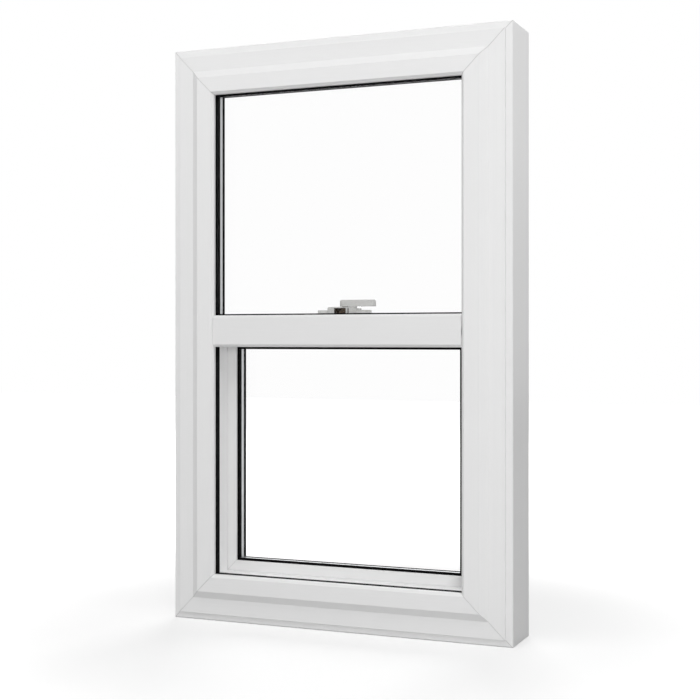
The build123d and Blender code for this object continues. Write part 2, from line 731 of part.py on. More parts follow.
def sash_piles():
    """Front and back pile strips of both stiles and the strip between the meeting rails."""
    front_floor = SASH_FRONT + PILE_SLOT_DEPTH
    back_floor = SASH_BACK - PILE_SLOT_DEPTH
    front_left = pile_strip(stile_pile_rect(), front_floor - PILE_BASE, TRACK_FRONT + PILE_CLEARANCE)
    back_left = pile_strip(stile_pile_rect(), back_floor, TRACK_BACK - PILE_CLEARANCE)
    top = SASH_TOP - PILE_SLOT_INSET
    half = HALF_WIDTH - SIGHT - PILE_END_INSET
    rail_rect = (-half, half, top - PILE_SLOT_WIDTH, top)
    return {
        "sash_front_piles": Compound(children=list(both_sides(front_left))),
        "sash_back_piles": Compound(children=list(both_sides(back_left))),
        "meeting_rail_pile": pile_strip(
            rail_rect, front_floor - PILE_BASE, TRACK_FRONT + PILE_CLEARANCE
        ),
    }


def sash_bulb():
    """Hollow bulb seal under the bottom rail, just clear of the sill's track floor."""
    half = SASH_RECT[1] - STILE_WIDTH
    middle_y = FRONT_Y + SASH_FRONT + SASH_DEPTH / 2
    foot_rect = (-half, half, SASH_BASE - BULB_FOOT_DEPTH, SASH_BASE)
    foot = block(foot_rect, SASH_FRONT + (SASH_DEPTH - BULB_FOOT_WIDTH) / 2, BULB_FOOT_WIDTH)
    plane = Plane((-half, middle_y, SASH_BASE - BULB_RADIUS), x_dir=(0, 1, 0), z_dir=(1, 0, 0))
    bulb = extrude(plane * Circle(BULB_RADIUS), amount=half + half, dir=plane.z_dir)
    bore = extrude(plane * Circle(BULB_RADIUS - BULB_WALL), amount=half + half, dir=plane.z_dir)
    return foot + bulb - bore


def sash():
    """Sash bars, sealed unit, gaskets, packers, beads and weather seals."""
    pieces = sash_bars()
    back_width = SASH_BITE + SASH_BACK_LIP
    pieces.update(glazing_unit("sash", SASH_GLASS, SASH_FRONT + SASH_UNIT_FRONT, back_width))
    pieces["sash_front_gasket"] = ring(
        SASH_GLASS, SASH_BITE + SASH_SIGHT_LIP, SASH_FRONT + SASH_NOSE_DEPTH, SASH_GASKET_DEPTH
    )
    pieces["sash_back_gasket"] = ring(
        SASH_GLASS, back_width, SASH_FRONT + SASH_UNIT_BACK, SASH_BACK_GASKET_DEPTH
    )
    pieces["sash_setting_blocks"] = setting_blocks(
        SASH_GLASS, SASH_FRONT + SASH_UNIT_FRONT, SASH_POCKET_HEIGHT - SASH_BITE
    )
    pieces.update(sash_beads())
    pieces.update(sash_piles())
    pieces["sash_bulb_seal"] = sash_bulb()
    return pieces


# Coil balances, left hand
def track_x(inset):
    """X of a distance in from the frame's left outer edge."""
    return inset - HALF_WIDTH


def track_block(low_d, high_d, front, depth, z0, z1):
    """Plate in the left jamb's track, placed by its distance in from the outer edge."""
    return block((track_x(low_d), track_x(high_d), z0, z1), front, depth)


def balance_screw_places():
    """Seats of the two screws that hold the left coil housing to the track floor."""
    x = track_x(JAMB_TRACK_FLOOR + HOUSING_WALL)
    z = HOUSING_TOP - HOUSING_TAB / 2
    spread = COIL_RADIUS - TRACK_SCREW[2]
    return [(x, COIL_Y + offset, z) for offset in (-spread, spread)]


def coil_plane(inset):
    """Plane across the coil's axis at a distance in from the frame's left outer edge."""
    return Plane((track_x(inset), COIL_Y, COIL_Z), x_dir=(0, 1, 0), z_dir=(1, 0, 0))


def coil_cylinder(radius, start, length):
    """Cylinder on the coil's axis."""
    plane = coil_plane(start)
    return extrude(plane * Circle(radius), amount=length, dir=plane.z_dir)


def strip_block(clearance, z0, z1):
    """The flat spring strip between its coil and its shoe, or the slot that clears it."""
    front = COIL_SETBACK + COIL_RADIUS + STRIP_GAP - clearance
    return track_block(
        STRIP_START - clearance,
        STRIP_START + STRIP_WIDTH + clearance,
        front,
        STRIP_THICKNESS + clearance + clearance,
        z0,
        z1,
    )


def balance_housing():
    """Moulded cup with a round pocket and post for the coil, screwed to the track floor."""
    start = JAMB_TRACK_FLOOR
    front = TRACK_FRONT + HOUSING_CLEARANCE
    end = start + HOUSING_REACH
    cup = track_block(start, end, front, HOUSING_DEPTH, HOUSING_BASE, HOUSING_TOP)
    cup = chamfer(cup.edges().filter_by(Axis.X), HOUSING_CHAMFER)
    pocket_start = start + HOUSING_WALL
    tab_base = HOUSING_TOP - HOUSING_TAB
    cup -= track_block(pocket_start, end, front, HOUSING_DEPTH, tab_base, HOUSING_TOP)
    cup -= coil_cylinder(COIL_RADIUS + COIL_POCKET_CLEARANCE, pocket_start, HOUSING_REACH)
    cup += coil_cylinder(COIL_INNER_RADIUS - COIL_FIT, pocket_start, STRIP_WIDTH)
    cup -= strip_block(STRIP_CLEARANCE, HOUSING_BASE - CUT_OVERRUN, COIL_Z)
    for place in balance_screw_places():
        cup -= screw_hole(TRACK_SCREW, place, (-1, 0, 0), SCREW_CLEARANCE)
    return cup


def balance_coil():
    """Wound spring strip as one solid ring, with the step of its outer end."""
    start = STRIP_START
    coil = coil_cylinder(COIL_RADIUS - STRIP_THICKNESS, start, STRIP_WIDTH)
    outer_turn = Plane((track_x(start), COIL_Y, COIL_Z), x_dir=(0, 1, 0), z_dir=(1, 0, 0))
    half_turn = sector(COIL_INNER_RADIUS, COIL_RADIUS, 0, OUTER_TURN_ANGLE)
    coil += extrude(outer_turn * half_turn, amount=STRIP_WIDTH, dir=outer_turn.z_dir)
    return coil - coil_cylinder(COIL_INNER_RADIUS, start - CUT_OVERRUN, STRIP_WIDTH + HOUSING_REACH)


def balance_shoe():
    """Sliding shoe that the pivot bar drops into, slotted on top for the strip's end."""
    start = JAMB_TRACK_FLOOR + SHOE_CLEARANCE
    front = TRACK_FRONT + SHOE_CLEARANCE
    depth = TRACK_BACK - TRACK_FRONT - SHOE_CLEARANCE - SHOE_CLEARANCE
    shoe = track_block(start, start + SHOE_REACH, front, depth, SHOE_BASE, SHOE_TOP)
    shoe = chamfer(shoe.edges().filter_by(Axis.X), SHOE_CHAMFER)
    shoe -= strip_block(STRIP_CLEARANCE, SHOE_TOP - SHOE_SLOT_DEPTH, SHOE_TOP + CUT_OVERRUN)
    return shoe - pivot_cylinder(PIVOT_RADIUS + PIVOT_FIT, PIVOT_LENGTH + PIVOT_FIT)


def pivot_cylinder(radius, length):
    """Round spigot from the pivot plate out into the shoe."""
    plane = Plane((track_x(PLATE_FACE), PIVOT_Y, PIVOT_Z), z_dir=(-1, 0, 0))
    return extrude(plane * Circle(radius), amount=length, dir=plane.z_dir)


def plate_screw_places():
    """Seats of the two screws that hold the left pivot plate to its stile."""
    rise = (PIVOT_PLATE_HEIGHT - PIVOT_PLATE_WIDTH / 2) / 2
    return [(track_x(PLATE_FACE), PIVOT_Y, PIVOT_Z + offset) for offset in (-rise, rise)]


def pivot_bar():
    """Steel plate on the stile's outer edge with the spigot that the shoe carries."""
    half_height = PIVOT_PLATE_HEIGHT / 2
    plate = track_block(
        PLATE_FACE,
        SASH_TRACK_ENTRY,
        PIVOT_SETBACK - PIVOT_PLATE_WIDTH / 2,
        PIVOT_PLATE_WIDTH,
        PIVOT_Z - half_height,
        PIVOT_Z + half_height,
    )
    for place in plate_screw_places():
        plate -= screw_hole(PLATE_SCREW, place, (1, 0, 0), SCREW_CLEARANCE)
    return plate + pivot_cylinder(PIVOT_RADIUS, PIVOT_LENGTH)


def screw_group(size, places, direction):
    """Identical screws of the left side and their mirror images, as one node."""
    screws = []
    for place in places:
        screws.extend(both_sides(screw(size, place, direction)))
    return Compound(children=screws)


def balances():
    """Both coil balances with their shoes, pivot bars and screws."""
    pieces = {}
    makers = {
        "balance_housing": balance_housing(),
        "balance_coil": balance_coil(),
        "balance_strip": strip_block(0, SHOE_TOP - SHOE_SLOT_DEPTH, COIL_Z),
        "balance_shoe": balance_shoe(),
        "pivot_bar": pivot_bar(),
    }
    for name, solid in makers.items():
        pieces[name + "_left"], pieces[name + "_right"] = both_sides(solid)
    pieces["balance_screws"] = screw_group(TRACK_SCREW, balance_screw_places(), (-1, 0, 0))
    pieces["pivot_bar_screws"] = screw_group(PLATE_SCREW, plate_screw_places(), (1, 0, 0))
    return pieces


# Cam lock and keeper
def polar(radius, angle):
    """Point at a radius and an angle in degrees."""
    return radius * cos(radians(angle)), radius * sin(radians(angle))


def sector(inner, outer, first, last):
    """Flat ring sector between two radii and two angles."""
    sweep = last - first
    return make_face(
        [
            CenterArc((0, 0), outer, first, sweep),
            CenterArc((0, 0), inner, first, sweep),
            Line(polar(inner, first), polar(outer, first)),
            Line(polar(inner, last), polar(outer, last)),
        ]
    )


def lock_plane(height):
    """Level plane through the lock's pivot at a height above the sash's top rail."""
    return Plane((LOCK_PIVOT_X, LOCK_PIVOT_Y, SASH_TOP + height))


def lock_disc(radius, low, high):
    """Upright cylinder on the lock's pivot."""
    return extrude(lock_plane(low) * Circle(radius), amount=high - low)


def lock_screw_places():
    """Seats of the screws in the lock's two wings."""
    reach = LOCK_LENGTH / 2 - LOCK_SCREW_INSET
    seat = SASH_TOP + WING_HEIGHT - LOCK_SCREW[3]
    return [(x, LOCK_Y, seat) for x in (LOCK_CENTRE - reach, LOCK_CENTRE + reach)]


def lock_housing():
    """Cast lock body with low wings, a round cavity for the cam, its window and a slot to outdoors."""
    base = Plane((LOCK_CENTRE, LOCK_Y, SASH_TOP))
    body = extrude(base * Rectangle(BODY_LENGTH, LOCK_DEPTH), amount=BODY_HEIGHT)
    body = fillet(body.edges().filter_by(Axis.Z), BODY_ROUND)
    body = chamfer(body.faces().sort_by(Axis.Z)[-1].edges(), BODY_CHAMFER)
    wings = extrude(base * RectangleRounded(LOCK_LENGTH, WING_DEPTH, WING_ROUND), amount=WING_HEIGHT)
    body += wings
    cavity = lock_disc(CAM_RADIUS + CAM_CLEARANCE, -CUT_OVERRUN, BODY_HEIGHT - LOCK_ROOF)
    wall_base = SASH_TOP - CUT_OVERRUN
    wall_rect = (CAM_WINDOW_RIGHT, BODY_LENGTH, wall_base, SASH_TOP + BODY_HEIGHT)
    wall_depth = LOCK_DEPTH + LOCK_SETBACK + WINDOW_WALL
    cavity -= block(wall_rect, SASH_FRONT - LOCK_DEPTH, wall_depth)
    slot_rect = (SLOT_LEFT, SLOT_LEFT + SLOT_WIDTH, wall_base, SASH_TOP + BODY_HEIGHT - LOCK_ROOF)
    cavity += block(slot_rect, SASH_FRONT, LOCK_SETBACK + WINDOW_WALL)
    body -= cavity
    body -= lock_disc(CAM_SHAFT_RADIUS + CAM_SHAFT_FIT, 0, BODY_HEIGHT + CUT_OVERRUN)
    for place in lock_screw_places():
        body -= screw_hole(LOCK_SCREW, place, (0, 0, -1), SCREW_CLEARANCE)
        well = Plane(place) * RegularPolygon(LOCK_SCREW[2] + SCREW_CLEARANCE, SCREW_SIDES)
        body -= extrude(well, amount=BODY_HEIGHT)
    return body


def lock_cam():
    """Cast cam: hub, web and a crescent wall that hooks behind the keeper, on one shaft."""
    inner = CAM_RADIUS - CAM_WALL
    web_top = BODY_HEIGHT - LOCK_ROOF - CAM_CLEARANCE
    web_base = web_top - CAM_WEB
    cam = lock_disc(CAM_HUB_RADIUS, CAM_BASE, web_top)
    web = sector(CAM_SHAFT_RADIUS, CAM_RADIUS, CAM_FIRST_ANGLE, CAM_LAST_ANGLE)
    cam += extrude(lock_plane(web_base) * web, amount=CAM_WEB)
    crescent = sector(inner, CAM_RADIUS, CAM_FIRST_ANGLE, CAM_LAST_ANGLE)
    cam += extrude(lock_plane(CAM_BASE) * crescent, amount=web_top - CAM_BASE)
    return cam + lock_disc(CAM_SHAFT_RADIUS, CAM_BASE, LEVER_BASE + LEVER_THICKNESS - LEVER_CHAMFER)


def lock_lever():
    """Lever: round hub on the cam's shaft and a deep, slightly tapering arm."""
    tip_radius = LEVER_WIDTH / 2
    tip_x = LEVER_LENGTH - tip_radius
    plan = make_hull([*Circle(LEVER_HUB_RADIUS).edges(), *(Pos(tip_x, 0) * Circle(tip_radius)).edges()])
    lever = extrude(lock_plane(LEVER_BASE) * plan, amount=LEVER_THICKNESS)
    lever = chamfer(lever.faces().sort_by(Axis.Z)[-1].edges(), LEVER_CHAMFER)
    return lever - lock_disc(CAM_SHAFT_RADIUS, 0, LEVER_BASE + LEVER_THICKNESS - LEVER_CHAMFER)


def keeper_screw_places():
    """Seats of the two keeper screws, on its base plate."""
    reach = KEEPER_LENGTH / 2 - KEEPER_SCREW_INSET
    y = FRONT_Y + TRACK_FRONT - BEAD_DEPTH / 2
    return [(LOCK_PIVOT_X + x, y, RAIL_TOP + KEEPER_THICKNESS) for x in (-reach, reach)]


def keeper():
    """Keeper: base plate on the meeting rail's leg and a curved lip that the cam hooks behind."""
    half = KEEPER_LENGTH / 2
    rect = (LOCK_PIVOT_X - half, LOCK_PIVOT_X + half, RAIL_TOP, RAIL_TOP + KEEPER_THICKNESS)
    plate = block(rect, TRACK_FRONT - BEAD_DEPTH, BEAD_DEPTH)
    outer = CAM_RADIUS - CAM_WALL - KEEPER_GAP
    lip = sector(outer - KEEPER_LIP_WALL, outer, KEEPER_FIRST_ANGLE, KEEPER_LAST_ANGLE)
    plate += extrude(lock_plane(RAIL_TOP - SASH_TOP) * lip, amount=KEEPER_LIP_HEIGHT)
    for place in keeper_screw_places():
        plate -= screw_hole(KEEPER_SCREW, place, (0, 0, -1), SCREW_CLEARANCE)
    return plate


def lock():
    """Lock body, cam, lever, keeper and their screws."""
    down = (0, 0, -1)
    lock_screws = [screw(LOCK_SCREW, place, down) for place in lock_screw_places()]
    keeper_screws = [screw(KEEPER_SCREW, place, down) for place in keeper_screw_places()]
    return {
        "lock_housing": lock_housing(),
        "lock_cam": lock_cam(),
        "lock_lever": lock_lever(),
        "lock_screws": Compound(children=lock_screws),
        "keeper": keeper(),
        "keeper_screws": Compound(children=keeper_screws),
    }


def main():
    """Build every piece and write each to its own file."""
    os.makedirs("parts", exist_ok=True)
    pieces = frame_bars()
    pieces["meeting_rail"] = meeting_rail()
    pieces.update(upper_light())
    pieces.update(sash())
    pieces.update(balances())
    pieces.update(lock())
    for name, piece in pieces.items():
        export_step(piece, "parts/" + name + ".step")


main()
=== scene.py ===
"""Look of the white PVC sash window: finishes, fine pieces, studio light and the photo's camera.

Lengths are metres, in the part's own frame: X along the sill, Y into the room, Z up.
"""

import logging
from dataclasses import dataclass, field, replace
from enum import Enum
from math import cos, pi, radians, sin
from typing import Any, Optional, Sequence

import bmesh
import bpy
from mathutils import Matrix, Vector

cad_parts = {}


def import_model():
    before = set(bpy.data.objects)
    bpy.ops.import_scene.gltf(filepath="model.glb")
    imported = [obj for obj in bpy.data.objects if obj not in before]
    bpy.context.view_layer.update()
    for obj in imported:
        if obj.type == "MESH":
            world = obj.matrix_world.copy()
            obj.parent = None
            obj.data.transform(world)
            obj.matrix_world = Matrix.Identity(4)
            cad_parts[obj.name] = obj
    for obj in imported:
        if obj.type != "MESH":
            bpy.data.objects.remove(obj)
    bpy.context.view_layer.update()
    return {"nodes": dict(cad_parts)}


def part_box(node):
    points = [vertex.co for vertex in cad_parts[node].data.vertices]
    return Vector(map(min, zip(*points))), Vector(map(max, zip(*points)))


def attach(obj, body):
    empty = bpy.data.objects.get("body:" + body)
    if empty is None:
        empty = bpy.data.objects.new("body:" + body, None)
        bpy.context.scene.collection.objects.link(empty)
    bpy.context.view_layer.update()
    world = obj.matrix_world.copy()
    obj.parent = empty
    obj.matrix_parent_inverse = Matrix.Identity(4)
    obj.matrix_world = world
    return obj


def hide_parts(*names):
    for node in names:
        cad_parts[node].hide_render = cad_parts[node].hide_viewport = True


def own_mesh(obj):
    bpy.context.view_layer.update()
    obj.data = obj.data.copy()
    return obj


log = logging.getLogger("sash_window")

MM = 0.001
WELD_GAP = 0.005 * MM
SOFT_ANGLE_DEG = 22.0
EDGE_FACETS = 2
FACING_LIMIT = 0.9
FIBRE_TIP = 0.05 * MM
SPIRAL_STEPS = 40
STRIP_SLACK = 0.8
SENSOR_MM = 36.0
WHITE = "#FFFFFF"

Point = tuple[float, float, float]

UP: Point = (0.0, 0.0, 1.0)
LEFTWARD: Point = (-1.0, 0.0, 0.0)
RIGHTWARD: Point = (1.0, 0.0, 0.0)


class Run(Enum):
    """The way a drawn, rolled or extruded surface runs, as the axis its fine lines follow."""

    ALONG_X = (0.02, 1.0, 1.0)
    ALONG_Z = (1.0, 1.0, 0.02)
    NO_RUN = (1.0, 1.0, 1.0)


class Side(Enum):
    """Left or right jamb, as the sign of its X."""

    LEFT = -1
    RIGHT = 1


def linear(hex_colour: str) -> tuple[float, float, float, float]:
    """Turns an sRGB hex colour into linear values.

    Args:
        hex_colour: six hex digits, with or without a leading hash.

    Returns:
        Linear red, green and blue with an alpha of 1.
    """
    digits = hex_colour.lstrip("#")
    shares = [int(digits[i : i + 2], 16) / 255 for i in (0, 2, 4)]
    values = [c / 12.92 if c <= 0.04045 else ((c + 0.055) / 1.055) ** 2.4 for c in shares]
    return (values[0], values[1], values[2], 1.0)


def add_node(
    tree: bpy.types.NodeTree,
    kind: str,
    settings: Optional[dict[str, Any]] = None,
    inputs: Optional[dict[Any, Any]] = None,
) -> bpy.types.Node:
    """Adds a node, sets its properties, and fills or links its inputs.

    Args:
        tree: the node tree that gets the node.
        kind: the node's type name.
        settings: property values by name.
        inputs: values, or output sockets to link from, by the input's name or number.

    Returns:
        The new node.
    """
    node = tree.nodes.new(kind)
    for name, value in (settings or {}).items():
        setattr(node, name, value)
    for key, value in (inputs or {}).items():
        if isinstance(value, bpy.types.NodeSocket):
            tree.links.new(value, node.inputs[key])
        else:
            node.inputs[key].default_value = value
    return node


def calculate(tree: bpy.types.NodeTree, operation: str, first: Any, second: Any) -> bpy.types.NodeSocket:
    """Adds one sum to a node tree.

    Args:
        tree: the node tree.
        operation: the sum's name, as a math node has it.
        first: a number or a socket.
        second: a number or a socket.

    Returns:
        The socket that gives the result.
    """
    node = add_node(tree, "ShaderNodeMath", {"operation": operation}, {0: first, 1: second})
    return node.outputs[0]


def clear_tree(owner: bpy.types.Material | bpy.types.World) -> bpy.types.NodeTree:
    """Turns on the nodes of a material or world and empties its tree.

    Args:
        owner: the material or world.

    Returns:
        Its empty node tree.
    """
    owner.use_nodes = True
    owner.node_tree.nodes.clear()
    return owner.node_tree


@dataclass(frozen=True)
class HollowShade:
    """The hollow of a casting, painted dark brown as painted shade, as an upright cylinder open to the front.

    Attributes:
        axis: X and Y of the hollow's axis.
        radius: its radius.
        front: Y of the casting's front face, where the enamel begins again.
        roof: Z of the hollow's roof.
        colour: sRGB hex of the painted shade in the hollow.
    """

    axis: tuple[float, float]
    radius: float
    front: float
    roof: float
    colour: str

    def mask(self, tree: bpy.types.NodeTree, coords: bpy.types.NodeSocket) -> bpy.types.NodeSocket:
        """Tells the hollow's faces from the enamel ones.

        Args:
            tree: the shader tree.
            coords: the object coordinates.

        Returns:
            A socket that gives 1 in the hollow and 0 elsewhere.
        """
        place = add_node(tree, "ShaderNodeSeparateXYZ", inputs={0: coords})
        across = calculate(tree, "SUBTRACT", place.outputs[0], self.axis[0])
        along = calculate(tree, "SUBTRACT", place.outputs[1], self.axis[1])
        squares = [calculate(tree, "MULTIPLY", side, side) for side in (across, along)]
        reach = calculate(tree, "ADD", squares[0], squares[1])
        inside = calculate(tree, "LESS_THAN", reach, self.radius**2)
        behind = calculate(tree, "GREATER_THAN", place.outputs[1], self.front)
        below = calculate(tree, "LESS_THAN", place.outputs[2], self.roof)
        return calculate(tree, "MULTIPLY", calculate(tree, "MULTIPLY", inside, behind), below)


@dataclass(frozen=True)
class SeamShade:
    """Fine weld seams at the four mitred corners of a frame of bars, painted darker as the shade of their
    fine groove.

    Attributes:
        half: half the width of the outer rectangle.
        low: Z of its underside.
        high: Z of its top.
        low_slope: upright's width over the lower bar's width.
        high_slope: upright's width over the upper bar's width.
        seam: half the seam's width across the face.
        colour: sRGB hex of the painted shade on the seam.
    """

    half: float
    low: float
    high: float
    low_slope: float
    high_slope: float
    seam: float
    colour: str

    def mask(self, tree: bpy.types.NodeTree, coords: bpy.types.NodeSocket) -> bpy.types.NodeSocket:
        """Tells the seams from the plain faces.

        Args:
            tree: the shader tree.
            coords: the object coordinates.

        Returns:
            A socket that gives 1 on a seam and 0 elsewhere.
        """
        place = add_node(tree, "ShaderNodeSeparateXYZ", inputs={0: coords})
        inset = calculate(tree, "SUBTRACT", self.half, calculate(tree, "ABSOLUTE", place.outputs[0], 0.0))
        rise = calculate(tree, "SUBTRACT", place.outputs[2], self.low)
        drop = calculate(tree, "SUBTRACT", self.high, place.outputs[2])
        seams = []
        for reach, slope in ((rise, self.low_slope), (drop, self.high_slope)):
            off = calculate(tree, "SUBTRACT", inset, calculate(tree, "MULTIPLY", reach, slope))
            away = calculate(tree, "ABSOLUTE", off, 0.0)
            seams.append(calculate(tree, "LESS_THAN", away, self.seam))
        return calculate(tree, "MAXIMUM", seams[0], seams[1])


@dataclass(frozen=True)
class Finish:
    """One real material with its process, drawn from noise at a real scale.

    Attributes:
        label: material and process, used as the material's name.
        colour: sRGB hex of the lighter tone.
        shade: sRGB hex of the darker tone that the noise brings in.
        roughness: lowest and highest roughness over the noise.
        metallic: 1 for bare metal, 0 for anything else.
        grain_mm: size of one noise cell in millimetres.
        relief_mm: depth of the surface's fine relief in millimetres.
        run: the way the fine lines follow.
        coat: weight of a clear top layer.
        sheen: weight of a soft fibre sheen.
        painted_shade: a hollow or seams painted darker, as painted shade.
        shine: strength of the mirror part, 0.5 for most plastics.
    """

    label: str
    colour: str
    shade: str
    roughness: tuple[float, float]
    metallic: float = 0.0
    grain_mm: float = 1.0
    relief_mm: float = 0.01
    run: Run = Run.NO_RUN
    coat: float = 0.0
    sheen: float = 0.0
    painted_shade: Optional[HollowShade | SeamShade] = None
    shine: float = 0.5

    def build(self) -> bpy.types.Material:
        """Builds the finish as a node material.

        Returns:
            The new material.
        """
        material = bpy.data.materials.new(self.label)
        tree = clear_tree(material)
        cells = [axis / (self.grain_mm * MM) for axis in self.run.value]
        coords = add_node(tree, "ShaderNodeTexCoord")
        mapping = add_node(
            tree, "ShaderNodeMapping", inputs={"Vector": coords.outputs["Object"], "Scale": cells}
        )
        noise = add_node(
            tree,
            "ShaderNodeTexNoise",
            inputs={"Vector": mapping.outputs["Vector"], "Scale": 1.0, "Detail": 3.0, "Roughness": 0.55},
        )
        tone = add_node(
            tree,
            "ShaderNodeMix",
            {"data_type": "RGBA"},
            {0: noise.outputs["Fac"], 6: linear(self.shade), 7: linear(self.colour)},
        )
        paint = tone.outputs[2]
        # Painted shade: the hollow or seam mask mixes its darker colour in.
        if self.painted_shade is not None:
            shade_mix = add_node(
                tree,
                "ShaderNodeMix",
                {"data_type": "RGBA"},
                {0: self.painted_shade.mask(tree, coords.outputs["Object"]), 6: paint, 7: linear(self.painted_shade.colour)},
            )
            paint = shade_mix.outputs[2]
        gloss = add_node(
            tree,
            "ShaderNodeMapRange",
            inputs={"Value": noise.outputs["Fac"], "To Min": self.roughness[0], "To Max": self.roughness[1]},
        )
        relief = add_node(
            tree,
            "ShaderNodeBump",
            inputs={"Height": noise.outputs["Fac"], "Strength": 1.0, "Distance": self.relief_mm * MM},
        )
        surface = add_node(
            tree,
            "ShaderNodeBsdfPrincipled",
            inputs={
                "Base Color": paint,
                "Roughness": gloss.outputs["Result"],
                "Normal": relief.outputs["Normal"],
                "Metallic": self.metallic,
                "Specular IOR Level": self.shine,
                "Coat Weight": self.coat,
                "Sheen Weight": self.sheen,
            },
        )
        add_node(tree, "ShaderNodeOutputMaterial", inputs={"Surface": surface.outputs["BSDF"]})
        return material


@dataclass(frozen=True)
class GlassFinish:
    """Clear float glass that lets the lamps' light through.

    Attributes:
        label: material and process, used as the material's name.
        tint: sRGB hex of the light that passes.
        roughness: roughness of the fire-polished face.
        ior: index of refraction.
    """

    label: str
    tint: str
    roughness: float
    ior: float

    def build(self) -> bpy.types.Material:
        """Builds the glass, clear to shadow rays.

        Returns:
            The new material.
        """
        material = bpy.data.materials.new(self.label)
        tree = clear_tree(material)
        pane = add_node(
            tree,
            "ShaderNodeBsdfPrincipled",
            inputs={
                "Base Color": linear(self.tint),
                "Roughness": self.roughness,
                "IOR": self.ior,
                "Transmission Weight": 1.0,
            },
        )
        clear = add_node(tree, "ShaderNodeBsdfTransparent", inputs={"Color": linear(self.tint)})
        path = add_node(tree, "ShaderNodeLightPath")
        mix = add_node(
            tree,
            "ShaderNodeMixShader",
            inputs={0: path.outputs["Is Shadow Ray"], 1: pane.outputs["BSDF"], 2: clear.outputs["BSDF"]},
        )
        add_node(tree, "ShaderNodeOutputMaterial", inputs={"Surface": mix.outputs["Shader"]})
        return material


# Rigid PVC as it leaves the extrusion die: satin white, with die lines along the bar.
PVC_UPRIGHT = Finish(
    "PVC extruded upright", "#EFEFEF", "#EBEBEB", (0.30, 0.40), 0.0, 0.9, 0.004, Run.ALONG_Z
)
PVC_LEVEL = replace(PVC_UPRIGHT, label="PVC extruded level", run=Run.ALONG_X)
# The meeting rail's white is set a little greyer than the other bars', which paints in shade.
RAIL_LEVEL_PAINTED_SHADE = replace(PVC_LEVEL, label="PVC extruded level, rail", colour="#EBEBEB", shade="#E7E7E7")
# The snap-in covers and the upper beads are thin trim, set a brighter white than the bars, which paints in
# light.
COVER_UPRIGHT_PAINTED_LIGHT = replace(PVC_UPRIGHT, label="PVC extruded upright, trim", colour="#FBFBFB", shade="#F7F7F7")
COVER_LEVEL_PAINTED_LIGHT = replace(PVC_LEVEL, label="PVC extruded level, trim", colour="#FBFBFB", shade="#F7F7F7")
# The frame's and the sash's bars are welded at their mitres and the seams cleaned; each seam is painted as a
# darker line, which stands for the shade in its fine groove.
FRAME_SEAM_SHADE = SeamShade(
    half=235.0 * MM,
    low=0.0,
    high=762.0 * MM,
    low_slope=1.0,
    high_slope=1.0,
    seam=0.55 * MM,
    colour="#D2D2D2",
)
SASH_SEAM_SHADE = SeamShade(
    half=205.0 * MM,
    low=28.0 * MM,
    high=407.0 * MM,
    low_slope=46.0 / 48.6,
    high_slope=46.0 / 42.6,
    seam=0.5 * MM,
    colour="#D8D8D8",
)
FRAME_UPRIGHT = replace(PVC_UPRIGHT, label="PVC extruded upright, frame welded", painted_shade=FRAME_SEAM_SHADE)
FRAME_LEVEL = replace(PVC_LEVEL, label="PVC extruded level, frame welded", painted_shade=FRAME_SEAM_SHADE)
SASH_UPRIGHT = replace(PVC_UPRIGHT, label="PVC extruded upright, sash welded", painted_shade=SASH_SEAM_SHADE)
SASH_LEVEL = replace(PVC_LEVEL, label="PVC extruded level, sash welded", painted_shade=SASH_SEAM_SHADE)
# EPDM rubber gasket, extruded and cured, with a dull fine grain.
EPDM = Finish("EPDM rubber extruded", "#0A0A0B", "#050506", (0.62, 0.78), 0.0, 0.5, 0.02, shine=0.06)
# Butyl sealant gunned into the unit's edge, tooled by hand.
BUTYL = Finish("Butyl sealant gunned", "#0B0B0C", "#050506", (0.60, 0.80), 0.0, 2.5, 0.12, shine=0.06)
# Aluminium strip roll-formed into a spacer, mill finish.
ALUMINIUM = Finish("Aluminium spacer roll-formed", "#C6C7C8", "#B2B4B6", (0.34, 0.48), 1.0, 0.4, 0.006)
# Polypropylene packers, moulded and ribbed fine.
PACKER = Finish("Polypropylene packer moulded", "#2C2E31", "#232527", (0.45, 0.6), 0.0, 0.8, 0.02)
# Woven polypropylene pile, cut and brushed.
PILE = Finish("Polypropylene pile woven", "#8A8D8F", "#6C6F72", (0.85, 0.95), 0.0, 0.3, 0.02, sheen=0.5)
# Steel screws, zinc plated and passivated.
ZINC = Finish("Steel zinc plated", "#C4C6C4", "#AFB2B1", (0.28, 0.42), 1.0, 1.6, 0.004)
# Spring steel strip, bright rolled along its length.
SPRING = Finish(
    "Spring steel bright rolled", "#A9ACAF", "#8C8F93", (0.20, 0.34), 1.0, 0.35, 0.003, Run.ALONG_Z
)
# Acetal housings and shoes, injection moulded.
ACETAL = Finish("Acetal injection moulded", "#DCDBD6", "#D2D1CB", (0.42, 0.55), 0.0, 1.2, 0.015)
# Zinc casting under stoved enamel, with a light orange peel; its white is set greyer than the PVC's, which
# paints in shade.
ENAMEL = Finish("Zinc casting stoved enamel", "#DEDEDC", "#D7D7D4", (0.22, 0.32), 0.0, 2.2, 0.02, coat=0.3)
# The lock's body has the same enamel outside; its cam hollow is painted dark brown, as painted shade.
LOCK_HOLLOW_SHADE = HollowShade(
    axis=(-2.5 * MM, 8.5 * MM), radius=14.6 * MM, front=2.3 * MM, roof=415.45 * MM, colour="#4A3C2E"
)
ENAMEL_BODY = replace(ENAMEL, label="Zinc casting stoved enamel, bare hollow", painted_shade=LOCK_HOLLOW_SHADE)
# Zinc casting with a brown bronzed bath, worn lighter on its grain.
BRONZED = Finish("Zinc casting bronzed", "#5A4A39", "#3A2E23", (0.6, 0.75), 0.25, 1.1, 0.03)
# Clear low-iron float glass with an anti-reflection coat, which keeps its reflections faint.
FLOAT_GLASS = GlassFinish("Soda-lime glass float, low reflection", "#FEFEFE", 0.0, 1.12)


